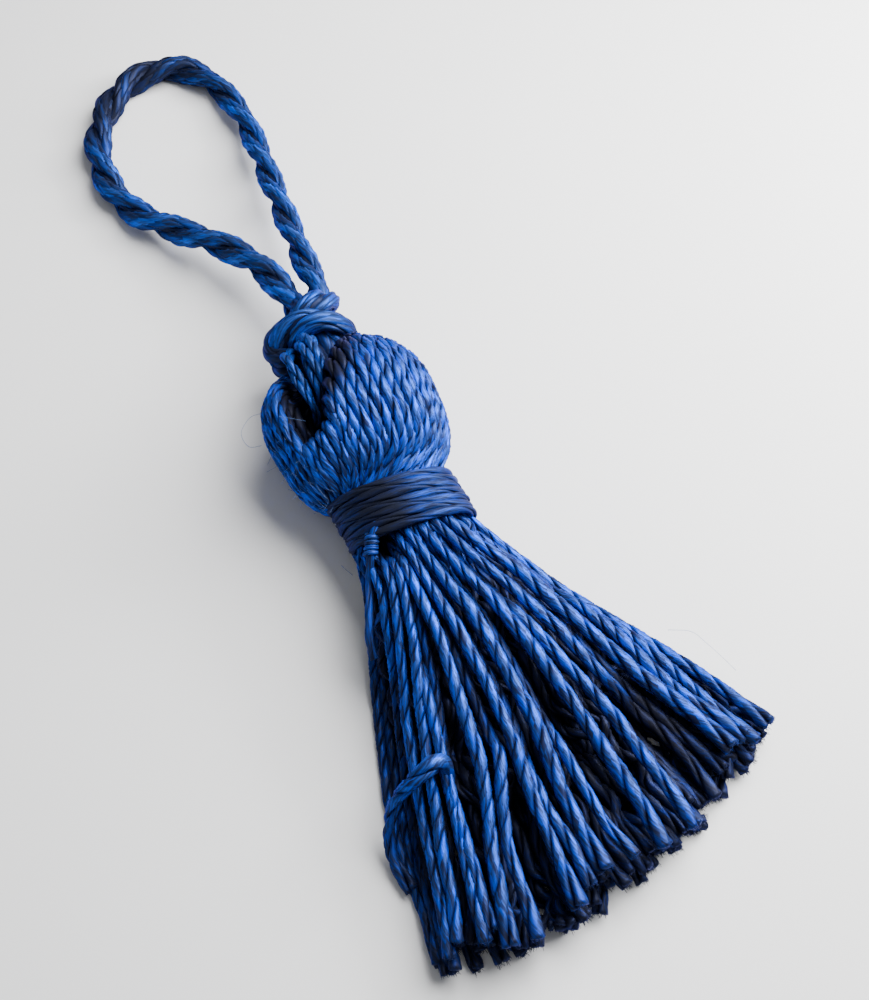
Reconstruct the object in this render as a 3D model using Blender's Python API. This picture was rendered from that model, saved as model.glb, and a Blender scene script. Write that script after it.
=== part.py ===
"""A hand-made thread tassel that lies on a flat surface.

A skein of thread is folded over a twisted cord, bound at the neck and cut to a skirt that
fans out on the surface. The cord is knotted above the head and runs on as a hanging loop.
+Y points from the skirt to the loop, +Z is up, and the surface is Z = 0.

Run it with: blender --background --python part.py
"""

import math

import bpy
import bmesh
import numpy as np
from mathutils import Vector

MM = 0.001

# Driving dimensions, in millimetres.
THREAD = 0.85  # one thread of the skein
STRANDS = 80  # cut ends in the skirt
CORD = 2.3  # the doubled and twisted cord of the loop
CORD_PITCH = 11.0  # length of one whole turn of its twist
CORD_TURN = -math.tau / CORD_PITCH  # for each millimetre, to the left as in the letter S
CLEARANCE = 0.3  # between pieces that touch on the real thing

NECK_HEIGHT = 5.5  # the neck's centre above the surface
NECK_RADIUS = 4.4  # the gathered thread under the binding
NECK_HALF_LENGTH = 2.2  # half of the wound length
NECK_END = -2.6  # where the strands come out, just past the binding

BINDING_TURNS = 7
BINDING_THICKNESS = 0.55
BINDING_RIDGE = 0.18  # how far each turn stands out of the groove beside it
BINDING_SIDES = 40

HEAD_RIDGES = 40  # folded threads that show round the head
RIDGE_DEPTH = 0.30

# The head from the neck to its crown. Half width and half height are those of the ridges' tops.
HEAD_SECTIONS = (
    # y, half_width, half_height, centre_x, centre_z
    (NECK_END, NECK_RADIUS, NECK_RADIUS, 0.0, NECK_HEIGHT),
    (0.0, NECK_RADIUS, NECK_RADIUS, 0.0, NECK_HEIGHT),
    (2.5, NECK_RADIUS, NECK_RADIUS, 0.0, NECK_HEIGHT),
    (3.4, 5.4, 5.0, 0.1, 5.6),
    (4.8, 6.3, 5.6, 0.2, 5.8),
    (7.0, 7.0, 6.4, 0.3, 6.0),
    (9.3, 7.3, 6.6, 0.3, 6.1),
    (11.6, 7.1, 6.4, 0.3, 6.0),
    (13.4, 6.4, 5.6, 0.4, 5.9),
    (15.0, 5.2, 4.6, 0.5, 5.8),
    (15.9, 4.0, 3.6, 0.6, 5.7),
    (16.1, 3.0, 2.8, 0.7, 5.7),
    (15.5, 2.1, 2.0, 0.8, 5.7),
    (14.2, 1.3, 1.2, 0.9, 5.7),
)
DIMPLE = (0.9, 13.6, 5.7)  # the bottom of the hollow that the fold leaves in the crown

# The cleft between the two lobes of the head runs up its upper side, left of the middle.
# Its angles are from straight up, towards +X.
CLEFT_START = 5.5
CLEFT_START_ANGLE = math.radians(-36.0)
CLEFT_END = 15.5
CLEFT_END_ANGLE = math.radians(-24.0)
CLEFT_FULL = 10.0  # where it has its whole depth
CLEFT_DEPTH = 4.3
CLEFT_HALF_WIDTH = 2.8

# The skirt spreads from a point behind the neck. Angles are from -Y, towards +X.
FAN_APEX = (-1.2, 7.3)
FAN_MIDDLE = math.radians(6.4)
FAN_START = FAN_APEX[1] - NECK_END
FAN_END = 41.2  # distance from the apex to the cut ends
FAN_STATIONS = 9
ROOT_RADIUS = 3.85  # of the strands' centres in the neck
TIP_HALF_WIDTH = 17.2
TIP_UNEVENNESS = 0.7
STRAND_SIDE_ROOT = 0.50
STRAND_SIDE_TIP = 0.74
STRAND_SPACING_ROOT = 0.80
STRAND_SPACING_TIP = 1.12
STRAND_REST = 0.01  # keeps a bent strand's corners off the surface's level
REST_MARGIN = 0.06  # a corner that is nearer to the surface than this lies on it
UNDERSIDE_SHORTER = 2.5  # how much shorter the strands are that lie on the surface

# The skirt's height along its length: under its lowest strands, and at the centres of its highest.
SKIRT_HEIGHTS = (
    # along, underside, highest
    (0.00, 1.40, 9.35),
    (0.12, 0.90, 9.00),
    (0.30, 0.25, 8.00),
    (0.50, 0.00, 6.60),
    (0.75, 0.00, 5.30),
    (1.00, 0.00, 4.70),
)

# The strand that crosses over its neighbours at the left of the skirt.
CROSSING_START = (-0.50, 0.72)  # its place in the round neck, as parts of the radius
CROSSING_LEAVES = 0.42  # how far along the skirt it leaves its row
CROSSING_ROUTE = (
    # x, y, z
    (-5.4, -20.4, 5.7),
    (-7.4, -21.2, 4.9),
    (-9.2, -21.6, 3.8),
    (-10.8, -22.3, 2.4),
    (-11.9, -23.6, 1.2),
    (-12.5, -25.4, 0.6),
    (-12.8, -27.4, 0.4),
)

# The knot in the doubled cord. Each part is a stretch of the same cord.
KNOT_UPPER_WRAP = (
    # x, y, z
    (-1.0, 20.1, 4.3),
    (-0.8, 19.9, 5.9),
    (0.3, 19.8, 7.0),
    (1.3, 20.0, 7.5),
    (2.3, 20.4, 7.1),
    (2.9, 21.0, 5.9),
    (2.7, 21.3, 4.5),
    (1.5, 21.1, 3.6),
    (0.1, 20.6, 3.5),
)
KNOT_LOWER_WRAP = (
    (1.1, 17.6, 3.6),
    (2.4, 17.3, 4.5),
    (2.8, 17.2, 6.1),
    (2.1, 17.6, 7.5),
    (1.0, 18.1, 8.1),
    (-0.2, 18.5, 7.9),
    (-1.4, 18.4, 6.9),
    (-2.0, 17.9, 5.6),
    (-1.7, 17.6, 4.2),
    (-0.5, 17.5, 3.5),
)
KNOT_SIDE_WRAP = (
    (-0.4, 20.4, 5.1),
    (-1.4, 19.4, 5.2),
    (-2.0, 18.1, 5.3),
    (-1.8, 17.2, 5.7),
    (-1.2, 16.9, 6.4),
)
KNOT_HEART = (0.9, 19.5, 5.6)  # the middle of the cord that the wraps hide
KNOT_HEART_RADII = (2.1, 3.2, 2.1)
KNOT_TAILS = (
    (
        (0.3, 18.3, 6.3),
        (-0.3, 17.0, 7.9),
        (-0.7, 15.8, 8.9),
        (-0.9, 14.6, 9.5),
        (-1.1, 12.8, 10.2),
        (-1.4, 11.2, 10.4),
        (-1.6, 9.9, 10.2),
    ),
    (
        (-1.4, 17.6, 6.2),
        (-2.2, 16.1, 8.2),
        (-2.7, 14.2, 9.5),
        (-2.9, 12.4, 10.2),
        (-2.9, 10.8, 10.3),
        (-2.9, 9.6, 9.9),
    ),
)
TAIL_SIZE = 0.68  # as a part of the cord

# The loop's centre line, from the knot round and back to it.
LOOP_ROUTE = (
    # x, y, z
    (3.4, 23.2, 5.6),
    (3.8, 27.0, 5.0),
    (4.4, 31.2, 4.2),
    (5.2, 37.1, 3.2),
    (6.0, 42.7, 2.3),
    (6.6, 47.8, 1.6),
    (6.4, 52.0, 1.25),
    (5.4, 55.4, 1.2),
    (3.6, 57.6, 1.2),
    (1.1, 58.5, 1.2),
    (-1.3, 58.2, 1.2),
    (-3.5, 57.1, 1.2),
    (-5.5, 55.2, 1.2),
    (-7.2, 52.5, 1.2),
    (-8.0, 49.8, 1.2),
    (-8.2, 46.8, 1.2),
    (-7.8, 43.8, 1.3),
    (-6.6, 40.7, 1.7),
    (-4.5, 37.4, 2.3),
    (-2.4, 34.1, 3.1),
    (-0.6, 30.5, 3.9),
    (0.4, 27.1, 4.6),
    (0.8, 23.1, 5.2),
)
CORD_STEP = 1.1  # between the rings of its tube


def lerp(start, end, share):
    return start + (end - start) * share


def smooth_step(share):
    share = np.clip(share, 0.0, 1.0)
    return share * share * (3.0 - 2.0 * share)


def clear_scene():
    for obj in list(bpy.data.objects):
        bpy.data.objects.remove(obj, do_unlink=True)


def make_collection(name):
    collection = bpy.data.collections.new(name)
    bpy.context.scene.collection.children.link(collection)
    return collection


def make_material(name, colour, roughness):
    material = bpy.data.materials.new(name)
    material.use_nodes = True
    shader = material.node_tree.nodes["Principled BSDF"]
    shader.inputs["Base Color"].default_value = (*colour, 1.0)
    shader.inputs["Roughness"].default_value = roughness
    shader.inputs["Metallic"].default_value = 0.0
    return material


def smooth_route(points, step):
    """Points every step along the Catmull-Rom curve through the given ones."""
    knots = np.array(points, float)
    padded = np.vstack([2 * knots[0] - knots[1], knots, 2 * knots[-1] - knots[-2]])
    share = np.linspace(0.0, 1.0, 24, endpoint=False)[:, None]
    pieces = []
    for a, b, c, d in zip(padded, padded[1:], padded[2:], padded[3:]):
        pieces.append(
            0.5
            * (
                2 * b
                + (c - a) * share
                + (2 * a - 5 * b + 4 * c - d) * share**2
                + (3 * b - a - 3 * c + d) * share**3
            )
        )
    fine = np.vstack([*pieces, knots[-1:]])
    along = np.concatenate([[0.0], np.cumsum(np.linalg.norm(np.diff(fine, axis=0), axis=1))])
    count = max(2, round(along[-1] / step) + 1)
    places = np.linspace(0.0, along[-1], count)
    return np.column_stack([np.interp(places, along, fine[:, axis]) for axis in range(3)])


def section_at(table, along):
    """The row of a table at this value of its first column, between its own rows."""
    rows = np.array(table)
    return [float(np.interp(along, rows[:, 0], column)) for column in rows[:, 1:].T]


def push_apart(places, spacing, lowest):
    """Moves the points of a section until they lie about a spacing apart, none under the lowest height."""
    places = places.copy()
    for _ in range(160):
        offsets = places[:, None] - places[None]
        distances = np.linalg.norm(offsets, axis=2)
        np.fill_diagonal(distances, spacing)
        overlap = np.clip(spacing - distances, 0.0, None)
        places += 0.25 * (offsets * (overlap / distances)[:, :, None]).sum(axis=1)
        places[:, 1] = np.maximum(places[:, 1], lowest)
    return places


def round_places(count):
    """Points spread evenly over a circle of radius 1, on a sunflower spiral."""
    index = np.arange(count)
    radius = np.sqrt((index + 0.5) / count)
    angle = index * math.pi * (3.0 - math.sqrt(5.0))
    return np.column_stack([radius * np.cos(angle), radius * np.sin(angle)])


def fan_sections():
    """The strands' places across the fan at each station: distance along the arc, and height."""
    disc = round_places(STRANDS)
    chord = np.sqrt(1.0 - np.clip(disc[:, 0] ** 2, 0.0, 0.97))
    sections = []
    for share in np.linspace(0.0, 1.0, FAN_STATIONS):
        half_width = lerp(ROOT_RADIUS, TIP_HALF_WIDTH, share)
        underside, highest = section_at(SKIRT_HEIGHTS, share)
        lowest = underside + STRAND_REST + lerp(STRAND_SIDE_ROOT, STRAND_SIDE_TIP, share) / 2
        # In the neck the bundle is round. Further on, its underside lies flat on the surface.
        middle = lerp(1.0, chord, smooth_step(share / 0.4))
        places = np.column_stack(
            [half_width * disc[:, 0], lowest + (highest - lowest) * (disc[:, 1] + middle) / 2]
        )
        spacing = lerp(STRAND_SPACING_ROOT, STRAND_SPACING_TIP, smooth_step(share / 0.3))
        sections.append(push_apart(places, spacing, lowest))
    return np.array(sections)


def fan_point(distance, across, height):
    """The point at this distance from the fan's apex and this far along the arc there."""
    angle = FAN_MIDDLE + across / distance
    return (
        FAN_APEX[0] + distance * math.sin(angle),
        FAN_APEX[1] - distance * math.cos(angle),
        height,
    )


def strand_routes():
    """Each strand's centre line, from inside the neck to its cut end."""
    sections = fan_sections()
    shares = np.linspace(0.0, 1.0, FAN_STATIONS)
    start = np.array(CROSSING_START)
    crossing = int(np.argmin(np.linalg.norm(round_places(STRANDS) - start, axis=1)))
    heights = sections[-1, :, 1]
    routes = []
    for index in range(STRANDS):
        low = 1.0 - smooth_step((heights[index] - STRAND_SIDE_TIP / 2) / THREAD)
        uneven = TIP_UNEVENNESS * math.sin(7.3 * index)
        length = FAN_END - FAN_START - UNDERSIDE_SHORTER * low + uneven
        route = [fan_point(FAN_START - 0.7, *sections[0, index])]
        last = CROSSING_LEAVES if index == crossing else 1.0
        for share, section in zip(shares, sections[:, index]):
            if share <= last:
                route.append(fan_point(FAN_START + length * share, *section))
        if index == crossing:
            route.extend(CROSSING_ROUTE)
        routes.append(route)
    return routes


def make_profile(name, outline):
    """A closed flat curve that gives a tube its section. It is a helper, so it isn't rendered."""
    data = bpy.data.curves.new(name, "CURVE")
    data.dimensions = "2D"
    spline = data.splines.new("POLY")
    spline.points.add(len(outline) - 1)
    for point, (across, up) in zip(spline.points, outline):
        point.co = (across * MM, up * MM, 0.0, 1.0)
    spline.use_cyclic_u = True
    profile = bpy.data.objects.new(name, data)
    profile.hide_render = True
    profile.display_type = "WIRE"
    HELPERS.objects.link(profile)
    return profile


def make_tubes(name, routes, profile, sizes=None, turn_per_mm=None):
    """One curve object with a tube along each route. Sizes scale its section at both ends of a route.

    With no turn, each section stays upright, so that a strand lies flat on the surface.
    """
    data = bpy.data.curves.new(name, "CURVE")
    data.dimensions = "3D"
    data.twist_mode = "Z_UP" if turn_per_mm is None else "MINIMUM"
    data.bevel_mode = "OBJECT"
    data.bevel_object = profile
    data.use_fill_caps = True
    for route in routes:
        spline = data.splines.new("POLY")
        spline.points.add(len(route) - 1)
        along = 0.0
        for number, (point, place) in enumerate(zip(spline.points, route)):
            if number:
                along += math.dist(place, route[number - 1])
            point.co = (place[0] * MM, place[1] * MM, place[2] * MM, 1.0)
            point.tilt = along * (turn_per_mm or 0.0)
            if sizes:
                point.radius = lerp(*sizes, number / (len(route) - 1))
    tubes = bpy.data.objects.new(name, data)
    TASSEL.objects.link(tubes)
    return tubes


def as_mesh(curve):
    """Replaces a curve object by a mesh object with welded caps."""
    graph = bpy.context.evaluated_depsgraph_get()
    mesh = bpy.data.meshes.new_from_object(curve.evaluated_get(graph))
    sheet = bmesh.new()
    sheet.from_mesh(mesh)
    bmesh.ops.remove_doubles(sheet, verts=sheet.verts, dist=0.001 * MM)
    bmesh.ops.recalc_face_normals(sheet, faces=sheet.faces)
    sheet.to_mesh(mesh)
    sheet.free()
    solid = bpy.data.objects.new(curve.name, mesh)
    solid.matrix_world = curve.matrix_world
    bpy.data.objects.remove(curve, do_unlink=True)
    TASSEL.objects.link(solid)
    return solid


def join_solids(target, added, solver="EXACT"):
    """Makes the added solid part of the target."""
    union = target.modifiers.new("Join " + added.name, "BOOLEAN")
    union.operation = "UNION"
    union.solver = solver
    union.object = added
    graph = bpy.context.evaluated_depsgraph_get()
    joined = bpy.data.meshes.new_from_object(target.evaluated_get(graph))
    target.modifiers.remove(union)
    target.data = joined
    bpy.data.objects.remove(added, do_unlink=True)


def finish(solid, name, material):
    solid.name = name
    solid.data.name = name
    solid.data.materials.clear()
    solid.data.materials.append(material)
    if solid.type == "MESH":
        solid.data.shade_smooth()
        solid.data.set_sharp_from_angle(angle=math.radians(50.0))
    return solid


def mesh_from_rings(name, rings, first_pole=None, last_pole=None):
    """A closed body from rings of points, ended by a pole or, where there is none, by a flat face."""
    sheet = bmesh.new()
    corners = [[sheet.verts.new(Vector(place) * MM) for place in ring] for ring in rings]
    count = len(rings[0])
    for ring, after in zip(corners, corners[1:]):
        for number in range(count):
            beside = (number + 1) % count
            sheet.faces.new((ring[number], ring[beside], after[beside], after[number]))
    for ring, pole in ((corners[0], first_pole), (corners[-1], last_pole)):
        if pole is None:
            sheet.faces.new(ring)
            continue
        tip = sheet.verts.new(Vector(pole) * MM)
        for number in range(count):
            sheet.faces.new((ring[number], ring[(number + 1) % count], tip))
    bmesh.ops.recalc_face_normals(sheet, faces=sheet.faces)
    mesh = bpy.data.meshes.new(name)
    sheet.to_mesh(mesh)
    sheet.free()
    solid = bpy.data.objects.new(name, mesh)
    TASSEL.objects.link(solid)
    return solid


def cleft_depth(along, angle, radius):
    """How far the cleft sinks the head's surface, which is deepest along the cleft's middle."""
    share = (along - CLEFT_START) / (CLEFT_END - CLEFT_START)
    across = (angle - lerp(CLEFT_START_ANGLE, CLEFT_END_ANGLE, share)) * radius
    reach = float(smooth_step((along - CLEFT_START) / (CLEFT_FULL - CLEFT_START)))
    reach *= min(1.0, radius / 4.5)
    return CLEFT_DEPTH * reach * math.exp(-((across / CLEFT_HALF_WIDTH) ** 2))


def head_ring(along, half_width, half_height, centre_x, centre_z):
    """One ring of the head, with a ridge for each folded thread, flat where it rests."""
    ring = []
    ridge = RIDGE_DEPTH * min(1.0, half_width / 5.0)
    for number in range(2 * HEAD_RIDGES):
        angle = math.pi * number / HEAD_RIDGES
        groove = ridge * (number % 2)
        radius = math.hypot(half_width * math.sin(angle), half_height * math.cos(angle))
        share = 1.0 - (groove + cleft_depth(along, math.remainder(angle, math.tau), radius)) / radius
        height = centre_z + share * half_height * math.cos(angle)
        ring.append((centre_x + share * half_width * math.sin(angle), along, max(height, 0.0)))
    return ring


def rest_level(solid):
    """Puts the corners that nearly touch the surface on it, so that the piece rests evenly."""
    for vertex in solid.data.vertices:
        if vertex.co.z < REST_MARGIN * MM:
            vertex.co.z = 0.0


def make_skein():
    """The head, which is the backing, and the cut strands fused into its neck."""
    rings = [head_ring(*row) for row in HEAD_SECTIONS]
    skein = mesh_from_rings("head", rings, last_pole=DIMPLE)
    half = STRAND_SIDE_TIP / 2
    square = make_profile("strand_section", ((-half, -half), (half, -half), (half, half), (-half, half)))
    sizes = (STRAND_SIDE_ROOT / STRAND_SIDE_TIP, 1.0)
    strands = as_mesh(make_tubes("strands", strand_routes(), square, sizes))
    join_solids(skein, strands)
    rest_level(skein)
    return finish(skein, "skein", make_material("skein thread", (0.035, 0.115, 0.36), 0.42))


def make_binding():
    """The thread wound round the neck: a ring with a ridge for each turn."""
    inside = NECK_RADIUS + CLEARANCE
    ridge_width = 2 * NECK_HALF_LENGTH / BINDING_TURNS
    profile = [(inside, -NECK_HALF_LENGTH), (inside, NECK_HALF_LENGTH)]
    outside = inside + BINDING_THICKNESS
    for turn in reversed(range(BINDING_TURNS)):
        middle = -NECK_HALF_LENGTH + (turn + 0.5) * ridge_width
        for part in (0.5, 0.22, -0.22):
            depth = BINDING_RIDGE if part == 0.5 else 0.0
            profile.append((outside - depth, middle + part * ridge_width))
    profile.append((outside - BINDING_RIDGE, -NECK_HALF_LENGTH))
    rings = []
    for number in range(BINDING_SIDES):
        angle = math.tau * number / BINDING_SIDES
        rings.append(
            [
                (radius * math.sin(angle), along, NECK_HEIGHT + radius * math.cos(angle))
                for radius, along in profile
            ]
        )
    binding = loop_of_rings("binding", rings)
    return finish(binding, "neck_binding", make_material("binding thread", (0.03, 0.10, 0.32), 0.45))


def loop_of_rings(name, rings):
    """A closed ring-shaped body from sections that follow each other round."""
    sheet = bmesh.new()
    corners = [[sheet.verts.new(Vector(place) * MM) for place in ring] for ring in rings]
    count = len(rings[0])
    for number, ring in enumerate(corners):
        after = corners[(number + 1) % len(corners)]
        for corner in range(count):
            beside = (corner + 1) % count
            sheet.faces.new((ring[corner], ring[beside], after[beside], after[corner]))
    bmesh.ops.recalc_face_normals(sheet, faces=sheet.faces)
    mesh = bpy.data.meshes.new(name)
    sheet.to_mesh(mesh)
    sheet.free()
    solid = bpy.data.objects.new(name, mesh)
    TASSEL.objects.link(solid)
    return solid


def twisted_outline(diameter, points_each):
    """The section of a cord of two strands that lie side by side: a long shape with a waist."""
    radius = diameter / 4
    outline = []
    for side in (1, -1):
        for number in range(points_each):
            angle = math.radians(lerp(-125.0, 125.0, number / (points_each - 1)))
            outline.append(
                (side * (radius + radius * math.cos(angle)), side * radius * math.sin(angle))
            )
    return outline


def make_loop():
    """The hanging loop: a tube whose section of two strands turns along the route."""
    profile = make_profile("cord_section", twisted_outline(CORD, 5))
    route = smooth_route(LOOP_ROUTE, CORD_STEP)
    loop = as_mesh(make_tubes("loop", [route], profile, turn_per_mm=CORD_TURN))
    return finish(loop, "hanging_loop", make_material("cord thread", (0.035, 0.11, 0.34), 0.45))


def keep_outer_shell(solid):
    """Deletes the slivers that a union leaves inside, where a bent stretch of cord cuts into itself."""
    sheet = bmesh.new()
    sheet.from_mesh(solid.data)
    bmesh.ops.triangulate(sheet, faces=sheet.faces)
    bmesh.ops.remove_doubles(sheet, verts=sheet.verts, dist=0.02 * MM)
    bmesh.ops.dissolve_degenerate(sheet, edges=sheet.edges, dist=0.01 * MM)
    shells = []
    unseen = set(sheet.faces)
    while unseen:
        shell = set()
        border = [unseen.pop()]
        while border:
            face = border.pop()
            shell.add(face)
            beside = [edge.link_faces for edge in face.edges if len(edge.link_faces) == 2]
            for near in {other for pair in beside for other in pair} & unseen:
                unseen.discard(near)
                border.append(near)
        shells.append(shell)
    shells.sort(key=len)
    slivers = [face for shell in shells[:-1] for face in shell]
    bmesh.ops.delete(sheet, geom=slivers, context="FACES")
    sheet.to_mesh(solid.data)
    sheet.free()


def make_ellipsoid(name, centre, radii):
    sheet = bmesh.new()
    bmesh.ops.create_uvsphere(sheet, u_segments=12, v_segments=8, radius=1.0)
    bmesh.ops.scale(sheet, vec=Vector(radii) * MM, verts=sheet.verts)
    bmesh.ops.translate(sheet, vec=Vector(centre) * MM, verts=sheet.verts)
    mesh = bpy.data.meshes.new(name)
    sheet.to_mesh(mesh)
    sheet.free()
    solid = bpy.data.objects.new(name, mesh)
    TASSEL.objects.link(solid)
    return solid


def make_knot():
    """The knot: the cord's wraps round the two legs, and its two tails, joined to one solid."""
    profile = make_profile("knot_section", twisted_outline(CORD, 4))
    stretches = [
        (KNOT_UPPER_WRAP, 1.0),
        (KNOT_LOWER_WRAP, 1.0),
        (KNOT_SIDE_WRAP, 1.0),
        *((tail, TAIL_SIZE) for tail in KNOT_TAILS),
    ]
    knot = make_ellipsoid("heart", KNOT_HEART, KNOT_HEART_RADII)
    for route, size in stretches:
        fine = smooth_route(route, CORD_STEP)
        stretch = as_mesh(make_tubes("stretch", [fine], profile, (size, size), CORD_TURN))
        join_solids(knot, stretch, "MANIFOLD")
    keep_outer_shell(knot)
    return finish(knot, "loop_knot", make_material("knot thread", (0.025, 0.08, 0.27), 0.48))


def centre_on_origin(pieces, counted):
    """Moves the pieces so that the counted ones stand with the middle of their base on the origin."""
    corners = np.vstack([[tuple(corner) for corner in piece.bound_box] for piece in counted])
    middle = (corners.min(axis=0) + corners.max(axis=0)) / 2
    for piece in pieces:
        piece.location = (-middle[0], -middle[1], -corners[:, 2].min())


clear_scene()
TASSEL = make_collection("tassel")
HELPERS = make_collection("sections")
HELPERS.hide_render = True
skein = make_skein()
binding = make_binding()
knot = make_knot()
loop = make_loop()
centre_on_origin((skein, binding, knot, loop), counted=(skein, binding, knot))
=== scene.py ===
"""The looks of a hand-made thread tassel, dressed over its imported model.

Every thread is modelled as the twisted yarn that it is. A skein of two-ply satin thread is folded
over the knotted end of a twisted cord, bound at the neck and cut to a skirt that fans out on the
surface. Lengths are in millimetres in the tassel's own axes, whose origin lies on the surface
under the middle of the neck, with +Y towards the loop, and to_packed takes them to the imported
model's frame in metres.
"""

import logging
import math
from collections.abc import Sequence
from dataclasses import dataclass, field
from enum import Enum

import bpy
import numpy as np
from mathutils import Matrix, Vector


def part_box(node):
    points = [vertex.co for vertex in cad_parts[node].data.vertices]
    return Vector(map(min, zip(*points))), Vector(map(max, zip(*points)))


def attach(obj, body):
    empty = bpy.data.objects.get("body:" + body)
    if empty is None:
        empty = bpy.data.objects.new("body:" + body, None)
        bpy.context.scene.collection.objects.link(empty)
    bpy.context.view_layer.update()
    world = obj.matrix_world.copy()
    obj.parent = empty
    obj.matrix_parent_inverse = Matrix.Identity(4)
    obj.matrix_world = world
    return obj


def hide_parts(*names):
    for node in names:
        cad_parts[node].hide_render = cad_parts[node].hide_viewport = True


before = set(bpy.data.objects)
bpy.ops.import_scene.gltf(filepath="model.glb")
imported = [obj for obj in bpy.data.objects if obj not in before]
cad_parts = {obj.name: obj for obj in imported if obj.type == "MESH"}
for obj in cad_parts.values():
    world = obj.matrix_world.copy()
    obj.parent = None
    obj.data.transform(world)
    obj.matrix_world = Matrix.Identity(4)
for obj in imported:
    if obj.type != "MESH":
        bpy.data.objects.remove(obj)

LOG = logging.getLogger("tassel")
RANDOM = np.random.default_rng(20)
MM = 0.001
BODY = "root"
UV_NAME = "fibre"
# the point attribute that carries painted light and shade, and each thread's random tone, into the colour
TONE_AND_SHADE_NAME = "tone"
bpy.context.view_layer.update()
LOWEST = 0.01  # the height of the lowest points, in millimetres
LANE_WIDTH = 5.37  # between the UVs of neighbouring tubes, in millimetres
CURVE_STEPS = 12  # the points that a smooth path is worked out at between two knots
STEEP = 0.9  # the rise, as a share of its length, from which a path counts as upright
FULLY_OUT = 0.8  # the share of the way out from which a ply is free of the painted shade of its grooves
CORE_SHADE = 0.06  # painted shade: the tone of the dark tube inside a cord, where the gaps between its strands show only shade
TINY = 1e-6  # a length too small to divide by, in millimetres
COLUMN_SCALE = 0.01  # what tones and thicknesses are scaled by, so that a path's length ignores them

Row = tuple[float, ...]
Pair = tuple[float, float]
Colour = tuple[float, float, float]
Values = float | np.ndarray
Input = bpy.types.NodeSocket | float | str | Row


class Twist(Enum):
    """The way that a yarn is twisted. S and Z lean as the middle stroke of the letter does."""

    S = -1.0
    Z = 1.0


@dataclass(frozen=True)
class Yarn:
    """How strands are twisted together.

    The offset is from the yarn's middle to a member's. A strand is one member, or a few side by
    side at a spacing, which is the angle between neighbours, with the outer ones tucked in by a
    share of the offset. A member that is a ply has its radius outwards from the yarn's middle, its
    width as a share of that radius, and the lean of its fibres, in millimetres across the ply for
    each millimetre along it.
    """

    strands: int
    offset: float
    pitch: float
    twist: Twist
    radius: float = 0.0
    width: float = 1.0
    lean: float = 0.0
    beside: int = 1
    spacing: float = 0.0
    tuck: float = 0.0

    @property
    def members(self) -> int:
        """How many members all the strands have."""
        return self.strands * self.beside

    def angles(self) -> np.ndarray:
        """Each member's angle about the yarn's middle, at the start."""
        strands = math.tau * np.arange(self.strands)[:, None] / self.strands
        return (strands + self.spacing * (np.arange(self.beside) - (self.beside - 1) / 2)).ravel()

    def offsets(self) -> np.ndarray:
        """Each member's distance from the yarn's middle."""
        beside = np.abs(np.arange(self.beside) - (self.beside - 1) / 2) / max(1, (self.beside - 1) / 2)
        return self.offset * np.tile(1.0 - self.tuck * beside**2, self.strands)


# The skein's thread: two soft plies.
THREAD_YARN = Yarn(strands=2, offset=0.165, pitch=3.1, twist=Twist.Z, radius=0.195, width=1.55, lean=0.5)
THREAD_RADIUS = THREAD_YARN.radius + THREAD_YARN.offset

# The hanging cord: two strands, each of three threads side by side.
CORD_YARN = Yarn(
    strands=2, offset=0.92, pitch=11.6, twist=Twist.S, beside=3, spacing=math.radians(32.0), tuck=0.16
)
CORD_THREAD = Yarn(strands=2, offset=0.16, pitch=6.4, twist=Twist.Z, radius=0.33, width=1.6, lean=0.4)
CORE_RADIUS = 0.66

# The same cord pulled tight in the knot, where its fibres lie nearly straight.
KNOT_THREAD = Yarn(strands=2, offset=0.16, pitch=9.0, twist=Twist.Z, radius=0.30, width=1.7, lean=0.2)


def lerp(start: Values, end: Values, share: Values) -> Values:
    """The value that lies this share of the way from start to end."""
    return start + (end - start) * share


def smooth_step(share: Values) -> Values:
    """3 s squared - 2 s cubed, with s held between 0 and 1: a ramp that starts and ends level."""
    held = np.clip(share, 0.0, 1.0)
    return held * held * (3.0 - 2.0 * held)


def ramp(value: Values, start: float, end: float) -> Values:
    """The smooth step that rises from 0 at the start value to 1 at the end value."""
    return smooth_step((value - start) / (end - start))


def looked_up(table: Sequence[Row], place: Values, column: int = 1) -> Values:
    """The value in a table's column at a place in its first column, by straight lines."""
    rows = np.array(table)
    return np.interp(place, rows[:, 0], rows[:, column])


def waves(angle: np.ndarray, table: Sequence[Row]) -> np.ndarray:
    """The sum of size times sin(rate times the angle + phase), over the table's rows."""
    return sum(size * np.sin(rate * angle + phase) for size, rate, phase in table)


def unit(vectors: np.ndarray) -> np.ndarray:
    """Each vector divided by its own length."""
    return vectors / np.linalg.norm(vectors, axis=-1, keepdims=True)


def path_length(points: np.ndarray | Sequence[Row]) -> float:
    """The length of the straight lines from each point to the next."""
    return float(np.linalg.norm(np.diff(np.array(points), axis=0), axis=1).sum())


def neck_place() -> np.ndarray:
    """Where the tassel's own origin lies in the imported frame, in millimetres."""
    return np.mean(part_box("neck_binding"), axis=0) / MM * np.array([1.0, 1.0, 0.0])


NECK_PLACE = neck_place()


def to_packed(points: np.ndarray) -> np.ndarray:
    """The points in metres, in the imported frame."""
    return (np.asarray(points, float) + NECK_PLACE) * MM


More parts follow.
